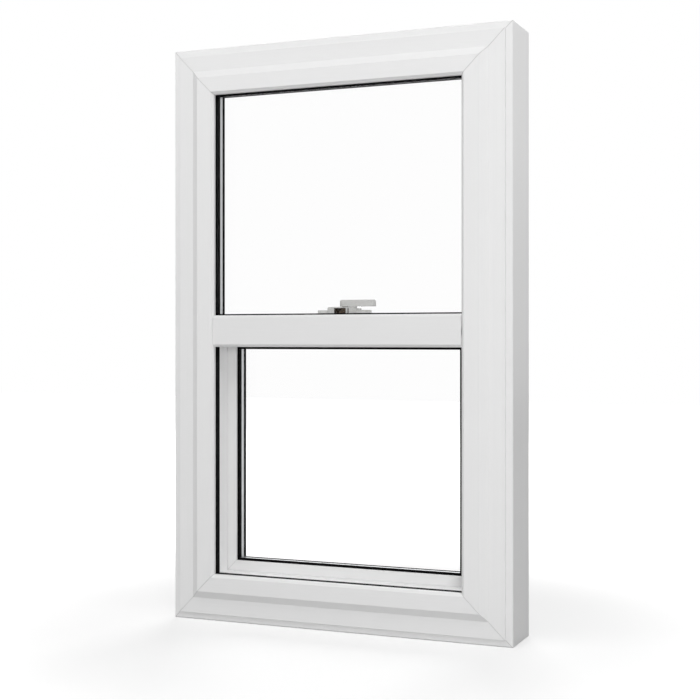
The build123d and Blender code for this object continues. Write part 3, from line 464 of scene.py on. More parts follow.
class Wardrobe:
    """Builds each finish once and hands out its material."""

    def __init__(self) -> None:
        """Starts with no material built."""
        self._made: dict[str, bpy.types.Material] = {}

    def get(self, finish: Finish | GlassFinish) -> bpy.types.Material:
        """Gives the material of a finish.

        Args:
            finish: the finish wanted.

        Returns:
            Its material, built on first use.
        """
        if finish.label not in self._made:
            self._made[finish.label] = finish.build()
        return self._made[finish.label]


def new_piece(
    name: str, points: Sequence[Point], faces: Sequence[Sequence[int]], material: bpy.types.Material
) -> bpy.types.Object:
    """Makes a mesh object in the scene, with its place in its vertices.

    Args:
        name: the object's name.
        points: vertex places.
        faces: vertex numbers of each face.
        material: the piece's material.

    Returns:
        The linked object.
    """
    mesh = bpy.data.meshes.new(name)
    mesh.from_pydata([tuple(p) for p in points], [], [tuple(f) for f in faces])
    mesh.materials.append(material)
    mesh.validate()
    obj = bpy.data.objects.new(name, mesh)
    bpy.context.scene.collection.objects.link(obj)
    return obj


def box_faces(low: Point, high: Point) -> tuple[list[Point], list[tuple[int, ...]]]:
    """Gives the points and outward faces of a box.

    Args:
        low: lower corner.
        high: upper corner.

    Returns:
        Eight points and six faces.
    """
    points = [(x, y, z) for z in (low[2], high[2]) for y in (low[1], high[1]) for x in (low[0], high[0])]
    faces = [(0, 2, 3, 1), (4, 5, 7, 6), (0, 1, 5, 4), (2, 6, 7, 3), (0, 4, 6, 2), (1, 3, 7, 5)]
    return points, faces


def soften(node: bpy.types.Object, width_mm: float) -> None:
    """Rounds a CAD node's sharp edges with modifiers.

    Args:
        node: the CAD node.
        width_mm: width of the rounded edge.
    """
    weld = node.modifiers.new("join_triangles", "WELD")
    weld.merge_threshold = WELD_GAP
    edge = node.modifiers.new("soft_edges", "BEVEL")
    edge.width = width_mm * MM
    edge.segments = EDGE_FACETS
    edge.limit_method = "ANGLE"
    edge.angle_limit = radians(SOFT_ANGLE_DEG)
    edge.harden_normals = True


def dress(node: bpy.types.Object, material: bpy.types.Material) -> None:
    """Gives a CAD node one material.

    Args:
        node: the CAD node.
        material: its new material.
    """
    node.data.materials.clear()
    node.data.materials.append(material)


def islands(node: bpy.types.Object) -> list[tuple[Vector, Vector]]:
    """Finds the separate solids of a CAD node.

    Args:
        node: the CAD node.

    Returns:
        Lower and upper corner of each solid's box.
    """
    work = bmesh.new()
    work.from_mesh(node.data)
    bmesh.ops.remove_doubles(work, verts=work.verts, dist=WELD_GAP)
    seen: set[int] = set()
    boxes = []
    work.verts.ensure_lookup_table()
    for start in work.verts:
        if start.index in seen:
            continue
        stack, members = [start], []
        seen.add(start.index)
        while stack:
            vert = stack.pop()
            members.append(vert.co.copy())
            for edge in vert.link_edges:
                other = edge.other_vert(vert)
                if other.index not in seen:
                    seen.add(other.index)
                    stack.append(other)
        low = Vector([min(c[i] for c in members) for i in range(3)])
        high = Vector([max(c[i] for c in members) for i in range(3)])
        boxes.append((low, high))
    work.free()
    return boxes


def new_tree(name: str, sockets: Sequence[tuple[str, str, Any]]) -> tuple[bpy.types.NodeTree, bpy.types.Node]:
    """Starts a geometry node tree with a mesh in, a mesh out and named inputs.

    Args:
        name: the tree's name.
        sockets: name, socket type and default of each further input.

    Returns:
        The tree and its group input node.
    """
    tree = bpy.data.node_groups.new(name, "GeometryNodeTree")
    tree.interface.new_socket("Mesh", in_out="INPUT", socket_type="NodeSocketGeometry")
    for label, kind, default in sockets:
        item = tree.interface.new_socket(label, in_out="INPUT", socket_type=kind)
        if default is not None:
            item.default_value = default
    tree.interface.new_socket("Mesh", in_out="OUTPUT", socket_type="NodeSocketGeometry")
    return tree, add_node(tree, "NodeGroupInput")


def end_tree(
    tree: bpy.types.NodeTree, geometry: bpy.types.NodeSocket, material: bpy.types.NodeSocket
) -> None:
    """Ends a tree in Realize Instances and Set Material.

    Args:
        tree: the tree to end.
        geometry: the geometry it gives out.
        material: the socket that gives its material.
    """
    real = add_node(tree, "GeometryNodeRealizeInstances", inputs={"Geometry": geometry})
    painted = add_node(
        tree, "GeometryNodeSetMaterial", inputs={"Geometry": real.outputs["Geometry"], "Material": material}
    )
    add_node(tree, "NodeGroupOutput", inputs={0: painted.outputs["Geometry"]})


def run_tree(obj: bpy.types.Object, tree: bpy.types.NodeTree, values: dict[str, Any]) -> bpy.types.Object:
    """Runs a geometry node tree on an object and keeps the result as its plain mesh.

    Args:
        obj: the object that carries the tree's base mesh.
        tree: the tree to run.
        values: input values by socket name.

    Returns:
        The same object with the evaluated mesh.
    """
    modifier = obj.modifiers.new(tree.name, "NODES")
    modifier.node_group = tree
    for item in tree.interface.items_tree:
        if item.item_type == "SOCKET" and item.in_out == "INPUT" and item.name in values:
            modifier[item.identifier] = values[item.name]
    bpy.context.view_layer.update()
    graph = bpy.context.evaluated_depsgraph_get()
    mesh = bpy.data.meshes.new_from_object(obj.evaluated_get(graph))
    obj.modifiers.remove(modifier)
    obj.data = mesh
    mesh.materials.clear()
    mesh.materials.append(values["Material"])
    mesh.polygons.foreach_set("material_index", [0] * len(mesh.polygons))
    return obj


def bristle_tree() -> bpy.types.NodeTree:
    """Builds the tree that stands cut fibres on the faces of a pile's backing that look one way.

    Returns:
        The tree, with inputs for the way, density, fibre size, lean, seed and material.
    """
    tree, given = new_tree(
        "pile_fibres",
        [
            ("Way", "NodeSocketVector", (0.0, -1.0, 0.0)),
            ("Density", "NodeSocketFloat", 1.0e6),
            ("Length", "NodeSocketFloat", 2.0 * MM),
            ("Radius", "NodeSocketFloat", 0.12 * MM),
            ("Lean", "NodeSocketFloat", 0.25),
            ("Seed", "NodeSocketInt", 7),
            ("Material", "NodeSocketMaterial", None),
        ],
    )
    normal = add_node(tree, "GeometryNodeInputNormal")
    facing = add_node(
        tree,
        "ShaderNodeVectorMath",
        {"operation": "DOT_PRODUCT"},
        {0: normal.outputs["Normal"], 1: given.outputs["Way"]},
    )
    chosen = add_node(
        tree,
        "FunctionNodeCompare",
        {"data_type": "FLOAT", "operation": "GREATER_THAN"},
        {0: facing.outputs["Value"], 1: FACING_LIMIT},
    )
    points = add_node(
        tree,
        "GeometryNodeDistributePointsOnFaces",
        inputs={
            "Mesh": given.outputs["Mesh"],
            "Selection": chosen.outputs["Result"],
            "Density": given.outputs["Density"],
            "Seed": given.outputs["Seed"],
        },
    )
    fibre = add_node(
        tree,
        "GeometryNodeMeshCone",
        {"fill_type": "NGON"},
        {
            "Vertices": 4,
            "Radius Top": FIBRE_TIP,
            "Radius Bottom": given.outputs["Radius"],
            "Depth": given.outputs["Length"],
        },
    )
    upright = add_node(
        tree, "FunctionNodeAlignRotationToVector", {"axis": "Z"}, {"Vector": given.outputs["Way"]}
    )
    ahead = given.outputs["Lean"]
    back = calculate(tree, "MULTIPLY", ahead, -1.0)
    low = add_node(tree, "ShaderNodeCombineXYZ", inputs={i: back for i in range(3)})
    high = add_node(tree, "ShaderNodeCombineXYZ", inputs={i: ahead for i in range(3)})
    lean = add_node(
        tree,
        "FunctionNodeRandomValue",
        {"data_type": "FLOAT_VECTOR"},
        {0: low.outputs[0], 1: high.outputs[0], "Seed": given.outputs["Seed"]},
    )
    turned = add_node(
        tree,
        "FunctionNodeRotateRotation",
        {"rotation_space": "LOCAL"},
        {"Rotation": upright.outputs["Rotation"], "Rotate By": lean.outputs[0]},
    )
    placed = add_node(
        tree,
        "GeometryNodeInstanceOnPoints",
        inputs={
            "Points": points.outputs["Points"],
            "Instance": fibre.outputs["Mesh"],
            "Rotation": turned.outputs["Rotation"],
        },
    )
    joined = add_node(tree, "GeometryNodeJoinGeometry")
    tree.links.new(given.outputs["Mesh"], joined.inputs[0])
    tree.links.new(placed.outputs["Instances"], joined.inputs[0])
    end_tree(tree, joined.outputs["Geometry"], given.outputs["Material"])
    return tree


def coil_tree() -> bpy.types.NodeTree:
    """Builds the tree that winds flat spring strip into a spiral about the X axis.

    Returns:
        The tree, with inputs for the radii, turns, strip section, place and material.
    """
    tree, given = new_tree(
        "spring_turns",
        [
            ("Inner Radius", "NodeSocketFloat", 8.0 * MM),
            ("Outer Radius", "NodeSocketFloat", 14.0 * MM),
            ("Turns", "NodeSocketFloat", 12.0),
            ("Strip Width", "NodeSocketFloat", 12.0 * MM),
            ("Strip Thickness", "NodeSocketFloat", 0.4 * MM),
            ("Place", "NodeSocketVector", (0.0, 0.0, 0.0)),
            ("Material", "NodeSocketMaterial", None),
        ],
    )
    spiral = add_node(
        tree,
        "GeometryNodeCurveSpiral",
        inputs={
            "Resolution": SPIRAL_STEPS,
            "Rotations": given.outputs["Turns"],
            "Start Radius": given.outputs["Inner Radius"],
            "End Radius": given.outputs["Outer Radius"],
            "Height": 0.0,
        },
    )
    level = add_node(
        tree, "GeometryNodeSetCurveNormal", {"mode": "Z_UP"}, {"Curve": spiral.outputs["Curve"]}
    )
    strip = add_node(
        tree,
        "GeometryNodeCurvePrimitiveQuadrilateral",
        inputs={"Width": given.outputs["Strip Thickness"], "Height": given.outputs["Strip Width"]},
    )
    wound = add_node(
        tree,
        "GeometryNodeCurveToMesh",
        inputs={"Curve": level.outputs["Curve"], "Profile Curve": strip.outputs["Curve"], "Fill Caps": True},
    )
    laid = add_node(
        tree,
        "GeometryNodeTransform",
        inputs={
            "Geometry": wound.outputs["Mesh"],
            "Translation": given.outputs["Place"],
            "Rotation": (0.0, pi / 2, 0.0),
        },
    )
    end_tree(tree, laid.outputs["Geometry"], given.outputs["Material"])
    return tree


def screw_tree() -> bpy.types.NodeTree:
    """Builds the tree that sets one screw at each point, along the point's own way, turned at random.

    Returns:
        The tree, with inputs for the screw, seed and material.
    """
    tree, given = new_tree(
        "screws_in_place",
        [
            ("Screw", "NodeSocketObject", None),
            ("Seed", "NodeSocketInt", 3),
            ("Material", "NodeSocketMaterial", None),
        ],
    )
    screw = add_node(tree, "GeometryNodeObjectInfo", inputs={"Object": given.outputs["Screw"]})
    way = add_node(tree, "GeometryNodeInputNamedAttribute", {"data_type": "FLOAT_VECTOR"}, {"Name": "way"})
    upright = add_node(
        tree, "FunctionNodeAlignRotationToVector", {"axis": "Z"}, {"Vector": way.outputs["Attribute"]}
    )
    spin = add_node(
        tree,
        "FunctionNodeRandomValue",
        {"data_type": "FLOAT"},
        {2: 0.0, 3: 2 * pi, "Seed": given.outputs["Seed"]},
    )
    about = add_node(tree, "ShaderNodeCombineXYZ", inputs={2: spin.outputs[1]})
    turned = add_node(
        tree,
        "FunctionNodeRotateRotation",
        {"rotation_space": "LOCAL"},
        {"Rotation": upright.outputs["Rotation"], "Rotate By": about.outputs[0]},
    )
    placed = add_node(
        tree,
        "GeometryNodeInstanceOnPoints",
        inputs={
            "Points": given.outputs["Mesh"],
            "Instance": screw.outputs["Geometry"],
            "Rotation": turned.outputs["Rotation"],
        },
    )
    end_tree(tree, placed.outputs["Instances"], given.outputs["Material"])
    return tree


@dataclass(frozen=True)
class ScrewSize:
    """Sizes of a pan-head screw with a cross recess, in millimetres.

    Attributes:
        head_radius: radius of the head.
        head_height: height of the head.
        shank_radius: radius of the shank.
        shank_length: length of the shank.
    """

    head_radius: float
    head_height: float
    shank_radius: float
    shank_length: float

    def prototype(self) -> bpy.types.Object:
        """Makes one screw with its head's underside at the origin and its head up Z.

        Returns:
            The screw's object, to be removed after use.
        """
        sides = 24
        rings = [
            (self.shank_radius * 0.3, -self.shank_length),
            (self.shank_radius, -self.shank_length * 0.75),
            (self.shank_radius, 0.0),
            (self.head_radius * 0.97, 0.0),
            (self.head_radius, self.head_height * 0.15),
            (self.head_radius * 0.96, self.head_height * 0.55),
            (self.head_radius * 0.82, self.head_height * 0.86),
            (self.head_radius * 0.66, self.head_height),
        ]
        work = bmesh.new()
        loops = []
        angles = [2 * pi * i / sides for i in range(sides)]
        for radius, height in rings:
            turn = [(radius * cos(angle), radius * sin(angle)) for angle in angles]
            loops.append([work.verts.new((x * MM, y * MM, height * MM)) for x, y in turn])
        for lower, upper in zip(loops, loops[1:]):
            for i in range(sides):
                j = (i + 1) % sides
                work.faces.new((lower[i], lower[j], upper[j], upper[i]))
        work.faces.new(list(reversed(loops[0])))
        arm, half = self.head_radius * 0.52, self.head_radius * 0.13
        cross = [(arm, -half), (arm, half), (half, half), (half, arm), (-half, arm), (-half, half)]
        cross += [(-x, -y) for x, y in cross]
        floor_z = self.head_height * 0.35
        rim = [work.verts.new((x * MM, y * MM, self.head_height * MM)) for x, y in cross]
        floor = [work.verts.new((x * 0.8 * MM, y * 0.8 * MM, floor_z * MM)) for x, y in cross]
        count = len(cross)
        edges = [work.edges.new((rim[i], rim[(i + 1) % count])) for i in range(count)]
        edges += [work.edges.get((loops[-1][i], loops[-1][(i + 1) % sides])) for i in range(sides)]
        bmesh.ops.triangle_fill(work, use_beauty=True, edges=edges)
        for i in range(count):
            j = (i + 1) % count
            work.faces.new((rim[j], rim[i], floor[i], floor[j]))
        work.faces.new(floor)
        bmesh.ops.recalc_face_normals(work, faces=work.faces)
        mesh = bpy.data.meshes.new("screw_prototype")
        work.to_mesh(mesh)
        work.free()
        obj = bpy.data.objects.new("screw_prototype", mesh)
        bpy.context.scene.collection.objects.link(obj)
        return obj


BALANCE_SCREW = ScrewSize(3.6, 1.6, 2.0, 9.0)
PIVOT_SCREW = ScrewSize(2.8, 0.5, 1.6, 6.0)
LOCK_SCREW = ScrewSize(3.2, 1.6, 1.8, 14.0)
KEEPER_SCREW = ScrewSize(2.1, 0.9, 1.2, 7.0)


@dataclass
class SubAssembly:
    """A group of pieces that are finished together.

    Attributes:
        nodes: the CAD nodes by name.
        wardrobe: the materials.
    """

    nodes: dict[str, bpy.types.Object]
    wardrobe: Wardrobe

    def finish_node(self, name: str, finish: Finish | GlassFinish, soft_mm: float = 0.0) -> None:
        """Dresses a CAD node and softens its edges.

        Args:
            name: the node's name.
            finish: its finish.
            soft_mm: width of its rounded edges, or 0 to leave them sharp.
        """
        node = self.nodes[name]
        dress(node, self.wardrobe.get(finish))
        if soft_mm > 0:
            soften(node, soft_mm)
        log.info("%s: %s, edges %.2f mm", name, finish.label, soft_mm)

    def keep(self, piece: bpy.types.Object, body: str, slot: str, stands_for: str) -> bpy.types.Object:
        """Ties a new piece to its body and hides the CAD node it stands for.

        Args:
            piece: the new piece.
            body: the body it rides on.
            slot: not used.
            stands_for: the CAD node it replaces.

        Returns:
            The same piece.
        """
        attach(piece, body)
        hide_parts(stands_for)
        log.info("%s: rides %s, stands for %s", piece.name, body, stands_for)
        return piece

    def screws(
        self,
        node: str,
        body: str,
        size: ScrewSize,
        tree: bpy.types.NodeTree,
        way: Point,
        mirrored: bool = False,
    ) -> bpy.types.Object:
        """Sets round cross-recess screws where a CAD node has its plain ones.

        Args:
            node: the CAD node of the screws.
            body: the body they ride on.
            size: the screws' sizes.
            tree: the tree that sets them.
            way: the way their heads look, for the right side where mirrored.
            mirrored: whether the left side's heads look the other way along X.

        Returns:
            The screws as one piece.
        """
        ways, seats = [], []
        for low, high in islands(self.nodes[node]):
            centre = (low + high) / 2
            sign = -1.0 if mirrored and centre.x < 0 else 1.0
            look = Vector((way[0] * sign, way[1], way[2]))
            reach = Vector([abs(c) for c in look]).dot(high - low) / 2 - size.head_height * MM
            ways.append(look)
            seats.append(centre + look * reach)
        piece = new_piece(node + "_cross_recess", seats, [], self.wardrobe.get(ZINC))
        stored = piece.data.attributes.new("way", "FLOAT_VECTOR", "POINT")
        for item, look in zip(stored.data, ways):
            item.vector = look
        sample = size.prototype()
        run_tree(piece, tree, {"Screw": sample, "Material": self.wardrobe.get(ZINC)})
        spare = sample.data
        bpy.data.objects.remove(sample)
        bpy.data.meshes.remove(spare)
        return self.keep(piece, body, "zinc_screw", node)


@dataclass
class WindowFrame(SubAssembly):
    """The welded outer frame with its meeting rail, covers and beads.

    Attributes:
        edge_mm: rounded edge of the welded bars.
        trim_edge_mm: rounded edge of snap-in covers and beads.
    """

    edge_mm: float = 0.45
    trim_edge_mm: float = 0.3

    def build(self) -> None:
        """Finishes the frame's bars, covers, beads and black seal."""
        for name in ("frame_jamb_left", "frame_jamb_right"):
            self.finish_node(name, FRAME_UPRIGHT, self.edge_mm)
        for name in ("frame_head", "frame_sill"):
            self.finish_node(name, FRAME_LEVEL, self.edge_mm)
        self.finish_node("meeting_rail", RAIL_LEVEL_PAINTED_SHADE, self.edge_mm)
        for name in ("cover_left", "cover_right", "upper_bead_left", "upper_bead_right"):
            self.finish_node(name, COVER_UPRIGHT_PAINTED_LIGHT, self.trim_edge_mm)
        for name in ("cover_sill", "upper_bead_head"):
            self.finish_node(name, COVER_LEVEL_PAINTED_LIGHT, self.trim_edge_mm)
        self.finish_node("lower_opening_seal", EPDM, self.trim_edge_mm)


@dataclass
class GlazingUnit(SubAssembly):
    """One sealed double glazing unit with its gaskets and packers.

    Attributes:
        prefix: first word of the unit's node names.
        gasket_edge_mm: rounded edge of the gaskets.
        arris_mm: ground edge of the panes.
    """

    prefix: str = "upper"
    gasket_edge_mm: float = 0.5
    arris_mm: float = 0.3

    def build(self) -> None:
        """Finishes the unit's panes, spacer, edge seal, gaskets and packers."""
        for pane in ("pane_outer", "pane_inner"):
            self.finish_node(f"{self.prefix}_{pane}", FLOAT_GLASS, self.arris_mm)
        self.finish_node(f"{self.prefix}_spacer", ALUMINIUM, self.arris_mm)
        self.finish_node(f"{self.prefix}_edge_seal", BUTYL)
        for gasket in ("front_gasket", "back_gasket"):
            self.finish_node(f"{self.prefix}_{gasket}", EPDM, self.gasket_edge_mm)
        self.finish_node(f"{self.prefix}_setting_blocks", PACKER, self.arris_mm)


@dataclass
class SlidingSash(SubAssembly):
    """The lower sash: mitred bars, beads, weather pile and bulb seal.

    Attributes:
        edge_mm: rounded edge of the bars.
        bead_edge_mm: rounded edge of the beads.
        backing_mm: thickness of the pile's woven backing.
        brush_mm: width of the pile's brush.
        fibres_per_mm2: fibres on each square millimetre of brush.
    """

    edge_mm: float = 0.4
    bead_edge_mm: float = 0.3
    backing_mm: float = 0.9
    brush_mm: float = 2.4
    fibres_per_mm2: float = 2.2

    def build(self) -> None:
        """Finishes the bars, beads and bulb, and brushes up the pile strips."""
        for name in ("sash_stile_left", "sash_stile_right"):
            self.finish_node(name, SASH_UPRIGHT, self.edge_mm)
        for name in ("sash_top_rail", "sash_bottom_rail"):
            self.finish_node(name, SASH_LEVEL, self.edge_mm)
        for name in ("sash_bead_left", "sash_bead_right"):
            self.finish_node(name, PVC_UPRIGHT, self.bead_edge_mm)
        for name in ("sash_bead_top", "sash_bead_bottom"):
            self.finish_node(name, PVC_LEVEL, self.bead_edge_mm)
        self.finish_node("sash_bulb_seal", EPDM)
        tree = bristle_tree()
        self.pile("sash_front_piles", -1.0, tree)
        self.pile("meeting_rail_pile", -1.0, tree)
        self.pile("sash_back_piles", 1.0, tree)

    def backing(self, low: Vector, high: Vector, way: float) -> tuple[list[Point], list[tuple[int, ...]]]:
        """Gives a woven backing that narrows to the width of its brush.

        Args:
            low: lower corner of the whole strip.
            high: upper corner of the whole strip.
            way: 1 where the brush looks to the room, -1 where it looks outdoors.

        Returns:
            Points and outward faces of the backing.
        """
        root = low.y if way > 0 else high.y
        tip = root + way * self.backing_mm * MM
        upright = high.z - low.z > high.x - low.x
        trim = ((high.x - low.x if upright else high.z - low.z) - self.brush_mm * MM) / 2
        trim_x, trim_z = (trim, 0.0) if upright else (0.0, trim)
        wide = [(low.x, low.z), (high.x, low.z), (high.x, high.z), (low.x, high.z)]
        narrow = [
            (low.x + trim_x, low.z + trim_z),
            (high.x - trim_x, low.z + trim_z),
            (high.x - trim_x, high.z - trim_z),
            (low.x + trim_x, high.z - trim_z),
        ]
        points = [(x, root, z) for x, z in wide] + [(x, tip, z) for x, z in narrow]
        faces = [(3, 2, 1, 0), (4, 5, 6, 7)] + [(i, (i + 1) % 4, (i + 1) % 4 + 4, i + 4) for i in range(4)]
        if way < 0:
            return points, [tuple(f) for f in faces]
        return points, [tuple(reversed(f)) for f in faces]

    def pile(self, node: str, way: float, tree: bpy.types.NodeTree) -> bpy.types.Object:
        """Brushes up one CAD node's pile strips.

        Args:
            node: the CAD node.
            way: 1 where the brush looks to the room, -1 where it looks outdoors.
            tree: the fibre tree.

        Returns:
            The pile as one piece.
        """
        points: list[Point] = []
        faces: list[tuple[int, ...]] = []
        length = 0.0
        for low, high in islands(self.nodes[node]):
            more, around = self.backing(low, high, way)
            faces += [tuple(i + len(points) for i in face) for face in around]
            points += more
            length = high.y - low.y - self.backing_mm * MM
        material = self.wardrobe.get(PILE)
        piece = new_piece(node + "_fibres", points, faces, material)
        values = {
            "Way": (0.0, way, 0.0),
            "Density": self.fibres_per_mm2 / MM**2,
            "Length": length,
            "Material": material,
        }
        run_tree(piece, tree, values)
        return self.keep(piece, "sash", "pile_fibre", node)


@dataclass
class CoilBalances(SubAssembly):
    """The coil balances in the jamb tracks, with their shoes and pivot bars.

    Attributes:
        turns: turns of strip on each coil.
        strip_mm: thickness of the spring strip.
        bore_mm: inner radius of the wound coil.
        travel_mm: the sash's full travel; not used.
        edge_mm: rounded edge of the moulded pieces.
    """

    turns: float = 13.0
    strip_mm: float = 0.4
    bore_mm: float = 8.0
    travel_mm: float = 262.0
    edge_mm: float = 0.35

    def build(self) -> None:
        """Finishes housings, shoes and pivot bars, and makes the coils, strips and screws."""
        tree = coil_tree()
        for side in Side:
            word = side.name.lower()
            self.finish_node(f"balance_housing_{word}", ACETAL, self.edge_mm)
            self.finish_node(f"balance_shoe_{word}", ACETAL, self.edge_mm)
            self.finish_node(f"pivot_bar_{word}", ZINC, self.edge_mm)
            self.coil(word, tree)
            self.strip(word)
        setter = screw_tree()
        self.screws("balance_screws", "frame", BALANCE_SCREW, setter, LEFTWARD, mirrored=True)
        self.screws("pivot_bar_screws", "sash", PIVOT_SCREW, setter, RIGHTWARD, mirrored=True)

    def coil(self, word: str, tree: bpy.types.NodeTree) -> bpy.types.Object:
        """Winds one coil from turns of strip.

        Args:
            word: left or right.
            tree: the winding tree.

        Returns:
            The wound coil.
        """
        low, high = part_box(f"balance_coil_{word}")
        centre = (low + high) / 2
        radius = (high.y - low.y) / 2
        material = self.wardrobe.get(SPRING)
        piece = new_piece(f"balance_coil_{word}_turns", [tuple(centre)], [], material)
        values = {
            "Inner Radius": self.bore_mm * MM + self.strip_mm * MM / 2,
            "Outer Radius": radius - self.strip_mm * MM / 2,
            "Turns": self.turns,
            "Strip Width": high.x - low.x,
            "Strip Thickness": self.strip_mm * MM * STRIP_SLACK,
            "Place": (centre.x, centre.y, high.z - radius),
            "Material": material,
        }
        run_tree(piece, tree, values)
        return self.keep(piece, f"coil_{word}", "spring_steel", f"balance_coil_{word}")

    def strip(self, word: str) -> bpy.types.Object:
        """Makes one hanging strip as a plain box with a mesh of its own; the real strip shortens from its
        upper end as the sash rises.

        Args:
            word: left or right.

        Returns:
            The strip.
        """
        name = f"balance_strip_{word}"
        low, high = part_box(name)
        points, faces = box_faces(tuple(low), tuple(high))
        piece = new_piece(name + "_rolled", points, faces, self.wardrobe.get(SPRING))
        self.keep(piece, "frame", "spring_steel", name)
        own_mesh(piece)
        return piece


@dataclass
class CamLock(SubAssembly):
    """The cam lock on the sash and its keeper on the fixed rail.

    Attributes:
        edge_mm: rounded edge of the castings.
        keeper_edge_mm: rounded edge of the pressed keeper.
    """

    edge_mm: float = 0.5
    keeper_edge_mm: float = 0.25

    def build(self) -> None:
        """Finishes the castings and keeper, and sets the screws."""
        self.finish_node("lock_housing", ENAMEL_BODY, self.edge_mm)
        self.finish_node("lock_lever", ENAMEL, self.edge_mm)
        self.finish_node("lock_cam", BRONZED, self.edge_mm)
        self.finish_node("keeper", BRONZED, self.keeper_edge_mm)
        setter = screw_tree()
        self.screws("lock_screws", "sash", LOCK_SCREW, setter, UP)
        self.screws("keeper_screws", "frame", KEEPER_SCREW, setter, UP)


@dataclass(frozen=True)
class Lamp:
    """One soft lamp of the studio.

    Attributes:
        name: the lamp's name.
        place: where it hangs.
        size: length of its square face.
        watts: its power.
        mirrored: whether glossy faces reflect it.
        aim: what it looks at, by default the window's middle.
    """

    name: str
    place: Point
    size: float
    watts: float
    mirrored: bool = True
    aim: Point = (0.0, 0.0, 0.4)

    def build(self) -> bpy.types.Object:
        """Hangs the lamp.

        Returns:
            The lamp's object.
        """
        data = bpy.data.lights.new(self.name, "AREA")
        data.size = self.size
        data.energy = self.watts
        lamp = bpy.data.objects.new(self.name, data)
        lamp.location = self.place
        lamp.rotation_euler = (Vector(self.aim) - Vector(self.place)).to_track_quat("-Z", "Y").to_euler()
        lamp.visible_transmission = False
        lamp.visible_glossy = self.mirrored
        bpy.context.scene.collection.objects.link(lamp)
        log.info("%s: %.0f W", self.name, self.watts)
        return lamp


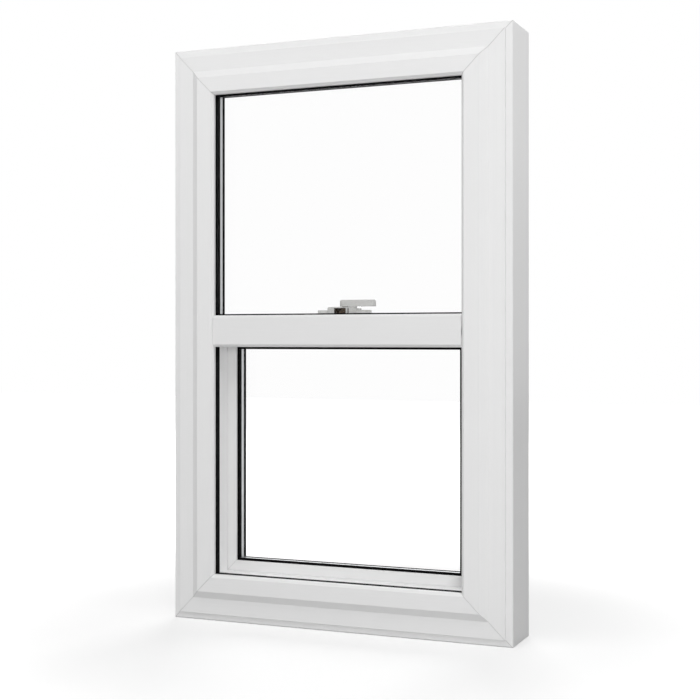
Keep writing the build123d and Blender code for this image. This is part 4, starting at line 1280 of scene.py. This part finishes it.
@dataclass
class Studio:
    """White backdrop, pale floor, soft lamps and the photo's camera.

    Attributes:
        ambient: strength of the backdrop's light on the object.
        floor_colour: sRGB hex of the floor.
        floor_glow: light added to the floor where it is seen, near the object.
        fade_from: distance at which the floor starts to fade into the backdrop.
        fade_to: distance at which it has the backdrop's white.
        floor_half: half the floor's length.
        camera_place: the camera's place.
        camera_turn_deg: the camera's turn about Z.
        lens_mm: focal length on the named sensor.
        shift_y: the lens shift up or down.
        lamps: the soft lamps.
    """

    ambient: float = 0.10
    floor_colour: str = "#C8C8C8"
    floor_glow: float = 0.48
    fade_from: float = 0.3
    fade_to: float = 0.9
    floor_half: float = 6.0
    camera_place: Point = (0.6743, -1.5940, 0.3746)
    camera_turn_deg: float = 22.70
    lens_mm: float = 68.33
    shift_y: float = -0.0153
    lamps: tuple[Lamp, ...] = field(
        default_factory=lambda: (
            Lamp("top_front_lamp", (0.0, -1.6, 3.0), 2.0, 36.0, mirrored=False),
            Lamp("low_right_lamp", (1.5, -2.6, 0.6), 1.2, 34.0, mirrored=False),
            Lamp("right_lamp", (2.6, -1.0, 2.2), 1.6, 14.0),
            Lamp("left_lamp", (-2.4, -2.0, 1.8), 1.6, 18.5),
            Lamp("room_lamp", (-0.6, 3.0, 2.0), 2.0, 65.0),
            Lamp("room_right_lamp", (1.8, 2.6, 1.6), 1.6, 8.0),
        )
    )

    def build(self) -> None:
        """Sets up the backdrop, floor, lamps and camera."""
        bpy.context.scene.view_settings.view_transform = "Standard"
        self.backdrop()
        self.floor()
        for lamp in self.lamps:
            lamp.build()
        self.camera()

    @staticmethod
    def seen(tree: bpy.types.NodeTree, mirrors: bool) -> bpy.types.NodeSocket:
        """Adds nodes that tell whether a ray comes straight from the camera, glass or a mirror face.

        Args:
            tree: the node tree that gets them.
            mirrors: whether rays from mirror faces count.

        Returns:
            A socket that gives 1 for such a ray and 0 for the rest.
        """
        path = add_node(tree, "ShaderNodeLightPath")
        rays = calculate(tree, "MAXIMUM", path.outputs["Is Camera Ray"], path.outputs["Is Transmission Ray"])
        if mirrors:
            rays = calculate(tree, "MAXIMUM", rays, path.outputs["Is Glossy Ray"])
        direct = calculate(tree, "LESS_THAN", path.outputs["Diffuse Depth"], 0.5)
        return calculate(tree, "MULTIPLY", rays, direct)

    def backdrop(self) -> None:
        """Makes the world white where it is seen and softer where it lights the object."""
        world = bpy.data.worlds.new("white_backdrop")
        tree = clear_tree(world)
        light = add_node(
            tree, "ShaderNodeBackground", inputs={"Color": linear(WHITE), "Strength": self.ambient}
        )
        white = add_node(tree, "ShaderNodeBackground", inputs={"Color": linear(WHITE), "Strength": 1.0})
        mix = add_node(
            tree,
            "ShaderNodeMixShader",
            inputs={0: self.seen(tree, True), 1: light.outputs["Background"], 2: white.outputs["Background"]},
        )
        add_node(tree, "ShaderNodeOutputWorld", inputs={"Surface": mix.outputs["Shader"]})
        bpy.context.scene.world = world

    def floor(self) -> bpy.types.Object:
        """Lays the pale floor, which keeps the object's soft shadow.

        Returns:
            The floor's object.
        """
        material = bpy.data.materials.new("Paper sweep matt")
        tree = clear_tree(material)
        paper = add_node(
            tree, "ShaderNodeBsdfDiffuse", inputs={"Color": linear(self.floor_colour), "Roughness": 0.0}
        )
        viewed = self.seen(tree, False)
        coords = add_node(tree, "ShaderNodeTexCoord")
        away = add_node(tree, "ShaderNodeVectorMath", {"operation": "LENGTH"}, {0: coords.outputs["Object"]})
        fade = add_node(
            tree,
            "ShaderNodeMapRange",
            {"interpolation_type": "SMOOTHSTEP"},
            {
                "Value": away.outputs["Value"],
                "From Min": self.fade_from,
                "From Max": self.fade_to,
                "To Min": self.floor_glow,
                "To Max": 1.0,
            },
        )
        level = calculate(tree, "MULTIPLY", viewed, fade.outputs["Result"])
        glow = add_node(tree, "ShaderNodeEmission", inputs={"Color": linear(WHITE), "Strength": level})
        both = add_node(
            tree, "ShaderNodeAddShader", inputs={0: paper.outputs["BSDF"], 1: glow.outputs["Emission"]}
        )
        add_node(tree, "ShaderNodeOutputMaterial", inputs={"Surface": both.outputs["Shader"]})
        half = self.floor_half
        corners = [(-half, -half, 0.0), (half, -half, 0.0), (half, half, 0.0), (-half, half, 0.0)]
        floor = new_piece("studio_floor", corners, [(0, 1, 2, 3)], material)
        return floor

    def camera(self) -> bpy.types.Object:
        """Places the camera that took the photo.

        Returns:
            The camera's object.
        """
        data = bpy.data.cameras.new("photo_camera")
        data.lens = self.lens_mm
        data.sensor_width = SENSOR_MM
        data.shift_y = self.shift_y
        camera = bpy.data.objects.new("photo_camera", data)
        camera.location = self.camera_place
        camera.rotation_euler = (radians(90), 0.0, radians(self.camera_turn_deg))
        bpy.context.scene.collection.objects.link(camera)
        bpy.context.scene.camera = camera
        return camera


def main() -> None:
    """Builds the window's look."""
    logging.basicConfig(level=logging.INFO, format="%(name)s %(message)s")
    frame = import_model()
    nodes, wardrobe = frame["nodes"], Wardrobe()
    WindowFrame(nodes, wardrobe).build()
    GlazingUnit(nodes, wardrobe, prefix="upper").build()
    GlazingUnit(nodes, wardrobe, prefix="sash").build()
    SlidingSash(nodes, wardrobe).build()
    CoilBalances(nodes, wardrobe).build()
    CamLock(nodes, wardrobe).build()
    Studio().build()


if __name__ == "__main__":
    main()
